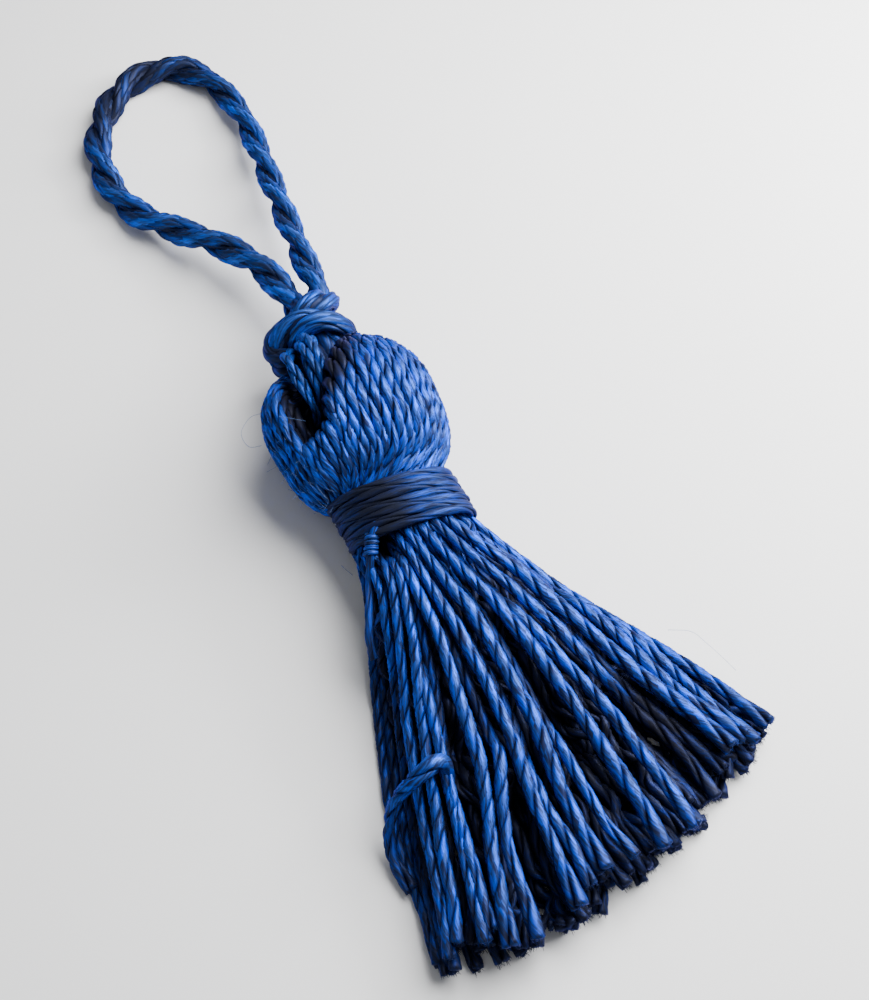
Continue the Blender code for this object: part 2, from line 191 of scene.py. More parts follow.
def smooth_path(knots: Sequence[Row] | np.ndarray, count: int) -> np.ndarray:
    """Evenly spaced points on a smooth curve through the knots.

    Between two knots the curve is the Catmull-Rom cubic, whose slope at each knot is half of the
    step from the knot before to the knot after.

    Args:
        knots: Rows of coordinates, of any number of columns.
        count: How many points to return.

    Returns:
        An array of count rows.
    """
    rows = np.asarray(knots, float)
    padded = np.vstack([2 * rows[0] - rows[1], rows, 2 * rows[-1] - rows[-2]])
    before, start, end, after = (padded[k : len(padded) - 3 + k, None] for k in range(4))
    share = np.linspace(0.0, 1.0, CURVE_STEPS, endpoint=False)[None, :, None]
    curve = 0.5 * (
        2 * start
        + (end - before) * share
        + (2 * before - 5 * start + 4 * end - after) * share**2
        + (3 * start - before - 3 * end + after) * share**3
    )
    fine = np.vstack([curve.reshape(-1, rows.shape[1]), rows[-1:]])
    along = np.concatenate([[0.0], np.cumsum(np.linalg.norm(np.diff(fine, axis=0), axis=1))])
    places = np.linspace(0.0, along[-1], count)
    return np.column_stack([np.interp(places, along, column) for column in fine.T])


def lengths_along(paths: np.ndarray) -> np.ndarray:
    """How far along its path each point lies, for paths shaped (paths, stations, 3)."""
    steps = np.linalg.norm(np.diff(paths, axis=1), axis=2)
    return np.concatenate([np.zeros((len(paths), 1)), np.cumsum(steps, axis=1)], axis=1)


def carried_frames(paths: np.ndarray) -> tuple[np.ndarray, np.ndarray, np.ndarray]:
    """Directions across and along each path that turn about it as little as they can.

    The first normal is square to the path's start. At each station the one before is taken over,
    less its part along the path. The second is the tangent crossed with the first.

    Args:
        paths: Points shaped (paths, stations, 3).

    Returns:
        The normals, the second normals and the tangents, each shaped like the paths.
    """
    tangents = unit(np.gradient(paths, axis=1))
    steep = np.abs(tangents[:, :1, 2]) > STEEP
    beside = np.where(steep, np.array([[1.0, 0.0, 0.0]]), np.array([[0.0, 0.0, 1.0]]))
    normals = np.empty_like(paths)
    normals[:, 0] = unit(np.cross(tangents[:, 0], beside))
    for station in range(1, paths.shape[1]):
        along = tangents[:, station]
        kept = normals[:, station - 1]
        normals[:, station] = unit(kept - (kept * along).sum(axis=1, keepdims=True) * along)
    return normals, np.cross(tangents, normals), tangents


def wound(
    paths: np.ndarray,
    yarn: Yarn,
    phase: Values = 0.0,
    spread: Values = 1.0,
    rate: Values = 1.0,
) -> tuple[np.ndarray, np.ndarray]:
    """The centre lines of a yarn's members, wound round its own centre line.

    A member lies at centre + offset (cos a, sin a) across the path. The angle a grows by one turn
    for each pitch of length, times the rate there and the twist's sign, from the phase and the
    member's own angle.

    Args:
        paths: The yarns' centre lines, shaped (paths, stations, 3).
        yarn: How the members are twisted.
        phase: The angle at the start, for all paths or shaped (paths, 1).
        spread: A factor on the offset, for all or shaped (paths, stations).
        rate: A factor on the twist, for all or shaped (paths, stations).

    Returns:
        Points shaped (paths times members, stations, 3), with one path's members together, and
        the unit directions from the yarn's middle to each of them, shaped alike.
    """
    across, up, _ = carried_frames(paths)
    rates = np.broadcast_to(rate, paths.shape[:2])
    steps = np.diff(lengths_along(paths), axis=1) * (rates[:, 1:] + rates[:, :-1]) / 2
    turns = np.concatenate([np.zeros((len(paths), 1)), np.cumsum(steps, axis=1)], axis=1) / yarn.pitch
    angle = yarn.twist.value * math.tau * turns + phase
    angles = angle[:, None, :, None] + yarn.angles()[None, :, None, None]
    outward = np.cos(angles) * across[:, None] + np.sin(angles) * up[:, None]
    spreads = np.broadcast_to(spread, angle.shape)[:, None, :, None]
    offset = yarn.offsets()[None, :, None, None] * spreads
    lines = paths[:, None] + offset * outward
    return lines.reshape(-1, *paths.shape[1:]), outward.reshape(-1, *paths.shape[1:])


@dataclass
class TubeBatch:
    """Tubes that share a number of stations and sides.

    A ring's point j lies at the centre + radius (cos t, width sin t) across the path, with t
    running once round in even steps. The first of these directions is the one outwards from the
    yarn's middle, where the tube is a ply, so that a ply's section is flat towards its neighbour.
    A pole on the path closes each end. What would lie under the surface is pressed flat on it.
    """

    paths: np.ndarray
    radii: np.ndarray
    tones: np.ndarray
    outward: np.ndarray | None = None
    width: float = 1.0
    lean: float = 0.0
    sides: int = 8
    cap: float = 0.3
    # how dark the painted shade in the creases between plies is, as a share
    groove_shade: Values = 0.9

    def frames(self) -> tuple[np.ndarray, np.ndarray, np.ndarray]:
        """The directions across and along each tube at its stations.

        Returns:
            The first and second directions across and the tangents, each shaped like the paths.
        """
        across, up, tangents = carried_frames(self.paths)
        if self.outward is not None:
            inwards = (self.outward * tangents).sum(axis=2, keepdims=True)
            across = unit(self.outward - inwards * tangents)
            up = np.cross(tangents, across)
        return across, up, tangents

    def points(self) -> np.ndarray:
        """Works out where the points lie.

        Returns:
            Rows of (x, y, z): the rings' points, then the first poles, then the last poles.
        """
        across, up, tangents = self.frames()
        angle = math.tau * np.arange(self.sides) / self.sides
        ring = np.cos(angle)[:, None] * across[:, :, None]
        ring = ring + self.width * np.sin(angle)[:, None] * up[:, :, None]
        rings = self.paths[:, :, None] + self.radii[:, :, None, None] * ring
        first = self.paths[:, 0] - self.cap * self.radii[:, :1] * tangents[:, 0]
        last = self.paths[:, -1] + self.cap * self.radii[:, -1:] * tangents[:, -1]
        points = np.vstack([rings.reshape(-1, 3), first, last])
        points[:, 2] = np.maximum(points[:, 2], LOWEST)
        return points

    def point_tones(self) -> np.ndarray:
        """The tone of each point.

        A ply's tone falls off round it, from its outermost line to where it meets its neighbour: painted
        shade between the plies.

        Returns:
            The tones, in the order of points().
        """
        angle = math.tau * np.arange(self.sides) / self.sides
        groove_shaded = 1.0 - smooth_step(0.5 * (np.cos(angle) + 1.0) / FULLY_OUT)
        rings = self.tones[:, :, None] * (1.0 - np.asarray(self.groove_shade)[..., None] * groove_shaded)
        return np.concatenate([rings.ravel(), self.tones[:, 0], self.tones[:, -1]])

    def grid(self) -> np.ndarray:
        """The numbers of the rings' points, shaped (tubes, stations, sides)."""
        shape = (*self.paths.shape[:2], self.sides)
        return np.arange(math.prod(shape)).reshape(shape)

    def quads(self) -> np.ndarray:
        """The faces between neighbouring rings, wound so that they look outwards.

        Returns:
            Rows of four point numbers.
        """
        grid = self.grid()
        beside = np.roll(grid, -1, axis=2)
        corners = (grid[:, :-1], beside[:, :-1], beside[:, 1:], grid[:, 1:])
        return np.stack(corners, axis=-1).reshape(-1, 4)

    def triangles(self) -> np.ndarray:
        """The faces from each end ring to its pole.

        Returns:
            Rows of three point numbers.
        """
        grid = self.grid()
        poles = grid.size + np.arange(2 * len(grid)).reshape(2, -1, 1)
        first, last = grid[:, 0], grid[:, -1]
        starts = (poles[0], np.roll(first, -1, axis=1), first)
        ends = (poles[1], last, np.roll(last, -1, axis=1))
        caps = [np.stack(np.broadcast_arrays(*corners), axis=-1) for corners in (starts, ends)]
        return np.vstack([cap.reshape(-1, 3) for cap in caps])

    def uvs(self, first_lane: int) -> np.ndarray:
        """A place on the unrolled fibre for each face corner, in millimetres.

        U is the way round the tube plus a lane of its own for each tube, and V the way along. The
        fibres lean across the tube as U grows with V.

        Args:
            first_lane: The number of the first tube's lane.

        Returns:
            Rows of (u, v), those of the quads first.
        """
        tubes, stations = self.paths.shape[:2]
        lane = LANE_WIDTH * (first_lane + np.arange(tubes))[:, None, None]
        girth = math.tau * np.median(self.radii)
        start = girth * np.arange(self.sides) / self.sides
        end = girth * (np.arange(self.sides) + 1) / self.sides
        along = lengths_along(self.paths)[:, :, None]
        shape = (tubes, stations - 1, self.sides)
        low, high = np.broadcast_to(along[:, :-1], shape), np.broadcast_to(along[:, 1:], shape)
        left, right = np.broadcast_to(start + lane, shape), np.broadcast_to(end + lane, shape)
        v = np.stack([low, low, high, high], axis=-1)
        u = np.stack([left, right, right, left], axis=-1) + self.lean * v
        caps = np.zeros((2 * tubes * self.sides * 3, 2))
        return np.vstack([np.column_stack([u.ravel(), v.ravel()]), caps])


def ply_batch(
    lines: np.ndarray,
    yarn: Yarn,
    size: Values = 1.0,
    tone: Values = 1.0,
    sides: int = 8,
    groove_shade: float = 0.9,
) -> TubeBatch:
    """The plies of yarns, each of which starts its twist at an angle of its own.

    Args:
        lines: The yarns' centre lines, shaped (yarns, stations, 3).
        yarn: How their plies are twisted.
        size: A factor on the yarns' thickness, for all or shaped (stations,).
        tone: The yarns' tone, for all or shaped (stations,).
        sides: How many sides each tube has.
        groove_shade: The painted shade in the grooves between the plies: how much darker they are, as a
            share.

    Returns:
        The batch of tubes.
    """
    phase = RANDOM.uniform(0.0, math.tau, (len(lines), 1))
    plies, outward = wound(lines, yarn, phase, spread=size)
    full = np.ones(plies.shape[:2])
    return TubeBatch(
        plies,
        yarn.radius * size * full,
        tone * full,
        outward,
        yarn.width,
        yarn.lean,
        sides,
        groove_shade=groove_shade,
    )


def shade_core_batch(line: np.ndarray, radius: np.ndarray) -> TubeBatch:
    """Painted shade inside a cord: one dark tube along its centre line, seen between the strands."""
    full = np.ones((1, len(line)))
    return TubeBatch(line[None], radius * full, CORE_SHADE * full, groove_shade=0.0)


def mesh_object(name: str, batches: Sequence[TubeBatch]) -> bpy.types.Object:
    """One smooth mesh object from batches of tubes, with its fibre UVs and its tones of painted light and
    shade.

    Args:
        name: The object's name.
        batches: The tubes, in millimetres in the tassel's own axes.

    Returns:
        The object, at the origin, with its place in its mesh.
    """
    parts = [batch.points() for batch in batches]
    starts = np.cumsum([0] + [len(part) for part in parts])
    lanes = np.cumsum([0] + [len(batch.paths) for batch in batches])
    points = to_packed(np.vstack(parts))
    tones = np.concatenate([batch.point_tones() for batch in batches])
    corners, totals, uvs = [], [], []
    for batch, start, lane in zip(batches, starts, lanes):
        quads, triangles = batch.quads() + start, batch.triangles() + start
        corners += [quads.ravel(), triangles.ravel()]
        totals += [np.full(len(quads), 4), np.full(len(triangles), 3)]
        uvs.append(batch.uvs(int(lane)))
    total = np.concatenate(totals)
    mesh = bpy.data.meshes.new(name)
    mesh.vertices.add(len(points))
    mesh.vertices.foreach_set("co", points.astype(np.float32).ravel())
    mesh.loops.add(int(total.sum()))
    mesh.loops.foreach_set("vertex_index", np.concatenate(corners).astype(np.int32))
    mesh.polygons.add(len(total))
    mesh.polygons.foreach_set("loop_start", (np.cumsum(total) - total).astype(np.int32))
    mesh.polygons.foreach_set("loop_total", total.astype(np.int32))
    mesh.update(calc_edges=True)
    layer = mesh.uv_layers.new(name=UV_NAME)
    layer.uv.foreach_set("vector", np.vstack(uvs).astype(np.float32).ravel())
    tone = mesh.attributes.new(TONE_AND_SHADE_NAME, "FLOAT", "POINT")
    tone.data.foreach_set("value", tones.astype(np.float32))
    mesh.validate()
    mesh.shade_smooth()
    piece = bpy.data.objects.new(name, mesh)
    bpy.context.scene.collection.objects.link(piece)
    return piece


def dress(piece: bpy.types.Object, material: bpy.types.Material, node: str) -> None:
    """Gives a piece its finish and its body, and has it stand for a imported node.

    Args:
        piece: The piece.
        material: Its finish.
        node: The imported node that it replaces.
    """
    piece.data.materials.append(material)
    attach(piece, BODY)
    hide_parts(node)
    LOG.info("%s: %d faces", piece.name, len(piece.data.polygons))


class Graph:
    """A material's node tree, with short ways to add nodes and links."""

    def __init__(self, name: str) -> None:
        """Makes a material whose tree holds only its shader and its output.

        Args:
            name: The material's name.
        """
        self.material = bpy.data.materials.new(name)
        self.material.use_nodes = True
        self.tree = self.material.node_tree
        self.shader = self.tree.nodes["Principled BSDF"]

    def add(
        self, kind: str, inputs: dict[str | int, Input] | None = None, **settings: str
    ) -> bpy.types.Node:
        """Adds a node, sets its properties, then sets or links its inputs.

        Args:
            kind: The node's type name.
            inputs: A value, or the socket to link from, for each input by name or number.
            **settings: The node's own properties.

        Returns:
            The node.
        """
        node = self.tree.nodes.new(kind)
        for name, value in settings.items():
            setattr(node, name, value)
        for name, value in (inputs or {}).items():
            self.feed(node, name, value)
        return node

    def feed(self, node: bpy.types.Node, name: str | int, value: Input) -> None:
        """Links a socket into an input, or sets the input to a value.

        Args:
            node: The node.
            name: The input's name or number.
            value: The socket or the value.
        """
        if isinstance(value, bpy.types.NodeSocket):
            self.tree.links.new(value, node.inputs[name])
        else:
            node.inputs[name].default_value = value

    def mix(self, share: Input, first: Input, second: Input) -> bpy.types.NodeSocket:
        """The mix of two colours.

        Args:
            share: How much of the second colour there is.
            first: The first colour.
            second: The second colour.

        Returns:
            The mix's socket.
        """
        node = self.add("ShaderNodeMix", data_type="RGBA")
        factor, first_colour, second_colour, result = 0, 6, 7, 2
        for number, value in ((factor, share), (first_colour, first), (second_colour, second)):
            self.feed(node, number, value)
        return node.outputs[result]

    def math(self, operation: str, first: Input, second: Input) -> bpy.types.NodeSocket:
        """A sum on two numbers or sockets."""
        return self.add("ShaderNodeMath", {0: first, 1: second}, operation=operation).outputs[0]


@dataclass(frozen=True)
class SatinThread:
    """The finish of shiny dyed thread, with its filaments drawn out along each ply.

    The colours run from the shade between filaments over the body to their bright crests, at the
    stops' heights. The filaments' height is a sum of layers of drawn-out noise.
    """

    name: str
    shade: Colour = (0.018, 0.026, 0.090)
    body: Colour = (0.026, 0.074, 0.315)
    crest: Colour = (0.000, 0.084, 0.850)
    # the painted shade of the deep gaps between threads, which a low tone mixes in
    deep: Colour = (0.015, 0.015, 0.021)
    stops: Row = (0.40, 0.50, 0.62)
    gloss: float = 0.05
    gloss_tint: Colour = (0.0, 0.25, 1.0)
    metal: float = 0.5
    roughness: float = 0.42
    anisotropy: float = 0.45
    filaments_per_mm: float = 9.0
    filament_length: float = 1.9
    layers: tuple[Row, ...] = (
        # share of the height, width and length against a filament's, detail
        (0.6, 1.0, 1.0, 2.0),
        (0.4, 4.0, 2.5, 1.0),
    )
    noise_roughness: float = 0.6
    relief: float = 0.05

    def streaks(self, graph: Graph, width: float, length: float, detail: float) -> bpy.types.NodeSocket:
        """Noise drawn out along the fibre.

        Args:
            graph: The material's nodes.
            width: The streaks' width, against a filament's.
            length: Their length, against a filament's.
            detail: The noise's detail.

        Returns:
            The noise's socket.
        """
        place = graph.add("ShaderNodeUVMap", uv_map=UV_NAME).outputs[0]
        scale = (self.filaments_per_mm / width, 1.0 / (length * self.filament_length), 1.0)
        drawn = graph.add("ShaderNodeMapping", {"Vector": place, "Scale": scale}).outputs[0]
        noise = {"Vector": drawn, "Scale": 1.0, "Detail": detail, "Roughness": self.noise_roughness}
        return graph.add("ShaderNodeTexNoise", noise, noise_dimensions="2D").outputs[0]

    def build(self) -> bpy.types.Material:
        """Makes the material.

        Returns:
            A Principled material whose colour follows the streaks, and darkens with the piece's
            tone attribute, of painted light and shade and some random tone, to the painted shade of the
            deep gaps between threads.
        """
        graph = Graph(self.name)
        shares = [
            graph.math("MULTIPLY", self.streaks(graph, width, length, detail), share)
            for share, width, length, detail in self.layers
        ]
        height = graph.math("ADD", *shares)
        ramped = graph.add("ShaderNodeValToRGB", {"Fac": height})
        stops = ramped.color_ramp.elements
        stops.new(self.stops[1])
        for stop, place, colour in zip(stops, self.stops, (self.shade, self.body, self.crest)):
            stop.position = place
            stop.color = (*colour, 1.0)
        tone = graph.add("ShaderNodeAttribute", attribute_name=TONE_AND_SHADE_NAME).outputs["Fac"]
        relief = {"Height": height, "Strength": 1.0, "Distance": self.relief * MM}
        tangent = graph.add("ShaderNodeTangent", direction_type="UV_MAP", uv_map=UV_NAME)
        sockets = {
            "Base Color": graph.mix(tone, (*self.deep, 1.0), ramped.outputs[0]),
            "Roughness": self.roughness,
            "Metallic": self.metal,
            "Specular IOR Level": self.gloss,
            "Specular Tint": (*self.gloss_tint, 1.0),
            "Anisotropic": self.anisotropy,
            "Normal": graph.add("ShaderNodeBump", relief).outputs[0],
            "Tangent": tangent.outputs[0],
        }
        for name, value in sockets.items():
            graph.feed(graph.shader, name, value)
        return graph.material


@dataclass(frozen=True)
class PlainFinish:
    """A finish of one colour."""

    name: str
    colour: Colour
    roughness: float

    def build(self) -> bpy.types.Material:
        """Makes the material.

        Returns:
            A plain Principled material.
        """
        graph = Graph(self.name)
        graph.feed(graph.shader, "Base Color", (*self.colour, 1.0))
        graph.feed(graph.shader, "Roughness", self.roughness)
        return graph.material


CORD_FINISH = SatinThread(
    "cord_thread",
    shade=(0.026, 0.055, 0.190),
    body=(0.030, 0.105, 0.430),
    crest=(0.003, 0.140, 1.0),
    filaments_per_mm=7.0,
)
# The binding's deep colour is the greyer painted shade of its shaded turns.
BINDING_FINISH = SatinThread(
    "binding_thread", deep=(0.016, 0.018, 0.030), metal=0.35, filaments_per_mm=13.0
)
SKEIN_FINISH = SatinThread("skein_thread")
HAIR_FINISH = PlainFinish("stray_fibre", colour=(0.10, 0.18, 0.42), roughness=0.5)
GROUND_FINISH = PlainFinish("pale_ground", colour=(0.90, 0.90, 0.90), roughness=0.85)


@dataclass
class Studio:
    """The camera, the floor and the lights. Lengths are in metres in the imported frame."""

    azimuth: float = math.radians(-26.5)
    elevation: float = math.radians(60.0)
    distance: float = 0.1282
    target: Row = (0.001345, 0.007919, 0.0)
    lens: float = 54.0
    nearest_seen: float = 0.005
    floor_size: float = 3.0
    surround_colour: Colour = (0.86, 0.90, 1.0)
    surround_strength: float = 0.15

    def outward(self, azimuth: float, elevation: float) -> Vector:
        """The unit direction to a place seen at this azimuth and elevation."""
        level = math.cos(elevation)
        return Vector((math.sin(azimuth) * level, -math.cos(azimuth) * level, math.sin(elevation)))

    def make_camera(self) -> None:
        """Puts the camera at its distance from the target, looking at it."""
        data = bpy.data.cameras.new("camera")
        data.lens = self.lens
        data.clip_start = self.nearest_seen
        camera = bpy.data.objects.new("camera", data)
        back = self.outward(self.azimuth, self.elevation)
        camera.location = Vector(self.target) + self.distance * back
        camera.rotation_euler = (-back).to_track_quat("-Z", "Y").to_euler()
        bpy.context.scene.collection.objects.link(camera)
        bpy.context.scene.camera = camera

    def make_floor(self) -> None:
        """A square sheet at height 0."""
        half = self.floor_size / 2
        corners = [(-half, -half, 0.0), (half, -half, 0.0), (half, half, 0.0), (-half, half, 0.0)]
        mesh = bpy.data.meshes.new("floor")
        mesh.from_pydata(corners, [], [(0, 1, 2, 3)])
        mesh.materials.append(GROUND_FINISH.build())
        floor = bpy.data.objects.new("floor", mesh)
        bpy.context.scene.collection.objects.link(floor)

    def make_light(
        self, name: str, azimuth: float, elevation: float, distance: float, size: float, power: float
    ) -> None:
        """A square area light that faces the tassel.

        Args:
            name: The light's name.
            azimuth: Its side, in degrees.
            elevation: Its height above the surface, in degrees.
            distance: How far off it is.
            size: Its width.
            power: Its power in watts.
        """
        data = bpy.data.lights.new(name, "AREA")
        data.size = size
        data.energy = power
        light = bpy.data.objects.new(name, data)
        back = self.outward(math.radians(azimuth), math.radians(elevation))
        light.location = distance * back
        light.rotation_euler = (-back).to_track_quat("-Z", "Y").to_euler()
        bpy.context.scene.collection.objects.link(light)

    def make_lights(self) -> None:
        """A soft key from behind at the right, a low side light there, a weak fill and a grey surround."""
        self.make_light("key", azimuth=101.0, elevation=53.0, distance=0.155, size=0.15, power=0.84)
        self.make_light("side", azimuth=93.0, elevation=25.0, distance=0.125, size=0.05, power=0.22)
        self.make_light("fill", azimuth=-40.0, elevation=70.0, distance=0.7, size=0.6, power=0.6)
        world = bpy.data.worlds.new("surround")
        world.use_nodes = True
        background = world.node_tree.nodes["Background"]
        background.inputs["Color"].default_value = (*self.surround_colour, 1.0)
        background.inputs["Strength"].default_value = self.surround_strength
        bpy.context.scene.world = world


@dataclass
class HangingLoop:
    """The twisted cord of the loop, which lies on the surface and goes back into the knot."""

    route: tuple[Row, ...] = (
        # x, y, z
        (3.4, 23.2, 5.6),
        (3.8, 27.0, 5.0),
        (4.4, 31.2, 4.2),
        (5.2, 37.1, 3.2),
        (6.0, 42.7, 2.3),
        (6.6, 47.8, 1.6),
        (6.4, 52.0, 1.35),
        (5.4, 55.5, 1.3),
        (3.6, 57.8, 1.3),
        (1.1, 58.7, 1.3),
        (-1.3, 58.4, 1.3),
        (-3.5, 57.2, 1.3),
        (-5.5, 55.2, 1.3),
        (-7.2, 52.5, 1.3),
        (-8.0, 49.8, 1.3),
        (-8.2, 46.8, 1.3),
        (-7.8, 43.8, 1.3),
        (-6.6, 40.7, 1.7),
        (-4.5, 37.4, 2.3),
        (-2.4, 34.1, 3.1),
        (-0.6, 30.5, 3.9),
        (0.4, 27.1, 4.6),
        (0.8, 23.1, 5.2),
    )
    into_knot: tuple[Row, Row] = ((2.4, 20.9, 5.9), (0.8, 20.9, 5.4))
    tones: tuple[Row, ...] = (
        # share of the length, tone: painted shade, darkest at the loop's top left, whose inner side lies in
        # shade
        (0.00, 0.90),
        (0.34, 1.00),
        (0.41, 0.45),
        (0.48, 0.12),
        (0.58, 0.12),
        (0.66, 0.70),
        (1.00, 0.80),
    )
    lay: tuple[Row, ...] = (
        # share of the length, rate of the twist
        (0.00, 0.92),
        (0.37, 0.92),
        (0.42, 1.13),
        (0.57, 1.13),
        (0.62, 0.99),
        (1.00, 0.99),
    )
    thickness: tuple[Row, ...] = (
        # share of the length, share of the full thickness
        (0.00, 0.92),
        (0.10, 0.86),
        (0.36, 0.86),
        (0.46, 1.00),
        (1.00, 0.94),
    )
    # the outer threads of each strand are darker: painted shade in the grooves between the strands
    edge_shade: float = 0.40
    groove_shade: float = 0.6
    phase: float = 2.8
    step: float = 0.22
    declared_every: int = 4

    def centre_line(self) -> np.ndarray:
        """The cord's centre line with its ends in the knot, shaped (stations, 3)."""
        knots = np.array([self.into_knot[0], *self.route, self.into_knot[1]])
        return smooth_path(knots, round(path_length(knots) / self.step))

    def build(self, thread: bpy.types.Material) -> None:
        """Args:
            thread: Its finish.
        """
        line = self.centre_line()
        share = np.linspace(0.0, 1.0, len(line))
        size, tone = looked_up(self.thickness, share), looked_up(self.tones, share)
        rate = looked_up(self.lay, share)
        threads, _ = wound(line[None], CORD_YARN, self.phase, size[None], rate[None])
        middle = slice(1, None, CORD_YARN.beside)
        edges = np.delete(threads, np.arange(len(threads))[middle], axis=0)
        batches = [
            ply_batch(threads[middle], CORD_THREAD, size, tone, sides=6, groove_shade=self.groove_shade),
            ply_batch(edges, CORD_THREAD, size, self.edge_shade * tone, sides=6, groove_shade=self.groove_shade),
            shade_core_batch(line, CORE_RADIUS * size),
        ]
        piece = mesh_object("hanging_cord", batches)
        dress(piece, thread, "hanging_loop")


@dataclass(frozen=True)
class Stretch:
    """A stretch of the knot: its route, its lay, its thickness at both ends and its even tones of painted
    light and shade.
    """

    route: tuple[Row, ...]
    yarn: Yarn = CORD_YARN
    thread: Yarn = KNOT_THREAD
    size: Pair = (1.0, 1.0)
    tone: Row = (1.0, 1.0)
    phase: float = 0.0
    step: float = 0.2

    def batches(self) -> list[TubeBatch]:
        """The tubes of the stretch, whose size and painted light and shade run from end to end.

        Returns:
            Its plies and, where its strands are a few threads wide, the dark core of painted shade inside
            them.
        """
        line = smooth_path(self.route, round(path_length(self.route) / self.step))
        share = np.linspace(0.0, 1.0, len(line))
        size = lerp(*self.size, share)
        tone = np.interp(share, np.linspace(0.0, 1.0, len(self.tone)), self.tone)
        threads, _ = wound(line[None], self.yarn, self.phase, size[None])
        plies = ply_batch(threads, self.thread, size, tone, sides=6)
        return [plies, shade_core_batch(line, CORE_RADIUS * size)] if self.yarn.beside > 1 else [plies]


@dataclass
class LoopKnot:
    """The knot in the cord: its wraps round the two legs, and its two tails."""

    # Each stretch's tones paint the knot's light and shade: lighter over its top, darker at its sides and
    # where the cord sinks into the head.
    heart: Stretch = Stretch(
        (
            (2.0, 22.4, 5.4),
            (1.4, 20.6, 5.8),
            (0.8, 18.6, 6.0),
            (0.4, 16.6, 6.2),
            (0.0, 14.6, 6.0),
            (-0.8, 12.6, 4.8),
            (-1.0, 10.6, 3.8),
        ),
        size=(1.05, 1.7),
        tone=(0.3, 0.04),
    )
    upper_wrap: Stretch = Stretch(
        (
            (-1.2, 20.1, 4.1),
            (-0.8, 19.8, 5.8),
            (0.2, 19.6, 7.0),
            (1.3, 19.8, 7.7),
            (2.4, 20.2, 7.6),
            (3.2, 20.7, 6.8),
            (3.5, 21.0, 5.4),
            (2.9, 21.2, 4.1),
            (1.5, 21.0, 3.5),
            (0.0, 20.5, 3.5),
        ),
        size=(0.80, 0.80),
        tone=(0.35, 0.60, 0.50, 0.30, 0.20, 0.15),
        phase=0.3,
    )
    lower_wrap: Stretch = Stretch(
        (
            (3.0, 16.6, 3.9),
            (3.3, 16.7, 5.3),
            (2.9, 17.1, 6.6),
            (2.1, 17.6, 7.7),
            (1.1, 18.1, 8.1),
            (0.0, 18.4, 7.9),
            (-1.1, 18.5, 7.0),
            (-1.9, 18.3, 5.8),
            (-2.1, 17.9, 4.5),
            (-1.4, 17.6, 3.6),
            (0.0, 17.4, 3.4),
        ),
        size=(0.98, 1.02),
        tone=(0.08, 0.10, 0.25, 0.55, 0.85, 0.70, 0.30, 0.12, 0.08),
    )
    side_wrap: Stretch = Stretch(
        (
            (-0.2, 20.6, 5.3),
            (-1.5, 19.8, 5.3),
            (-2.4, 18.7, 5.3),
            (-2.7, 17.5, 5.4),
            (-2.3, 16.5, 5.8),
            (-1.6, 15.9, 5.8),
            (-1.5, 14.4, 4.8),
            (-1.6, 12.6, 4.0),
        ),
        size=(0.85, 1.2),
        tone=(0.2, 0.04),
        phase=0.9,
    )
    double_tail: Stretch = Stretch(
        (
            (0.1, 18.0, 5.0),
            (-0.2, 17.2, 6.2),
            (-0.5, 16.4, 7.8),
            (-0.8, 15.3, 9.0),
            (-1.0, 13.8, 9.6),
            (-1.2, 12.0, 9.5),
            (-1.35, 10.8, 9.2),
            (-1.5, 9.9, 8.2),
            (-1.6, 9.6, 6.8),
        ),
        yarn=Yarn(strands=4, offset=0.50, pitch=16.0, twist=Twist.S),
        thread=THREAD_YARN,
        size=(1.35, 0.9),
        tone=(0.95, 0.3),
        phase=0.2,
    )
    single_tail: Stretch = Stretch(
        (
            (-1.2, 17.8, 4.8),
            (-1.8, 16.9, 6.2),
            (-2.4, 15.8, 8.0),
            (-2.8, 14.4, 9.1),
            (-2.8, 12.6, 9.2),
            (-2.7, 10.9, 9.0),
            (-2.65, 9.6, 8.3),
            (-2.6, 9.0, 6.8),
        ),
        yarn=Yarn(strands=2, offset=0.24, pitch=9.0, twist=Twist.S),
        thread=THREAD_YARN,
        size=(1.3, 0.75),
        tone=(0.95, 0.4),
    )

    def build(self, thread: bpy.types.Material) -> None:
        """Makes the knot as one mesh.

        Args:
            thread: Its finish.
        """
        wraps = (self.heart, self.upper_wrap, self.lower_wrap, self.side_wrap)
        tails = (self.double_tail, self.single_tail)
        batches = [batch for stretch in (*wraps, *tails) for batch in stretch.batches()]
        piece = mesh_object("cord_knot", batches)
        dress(piece, thread, "loop_knot")


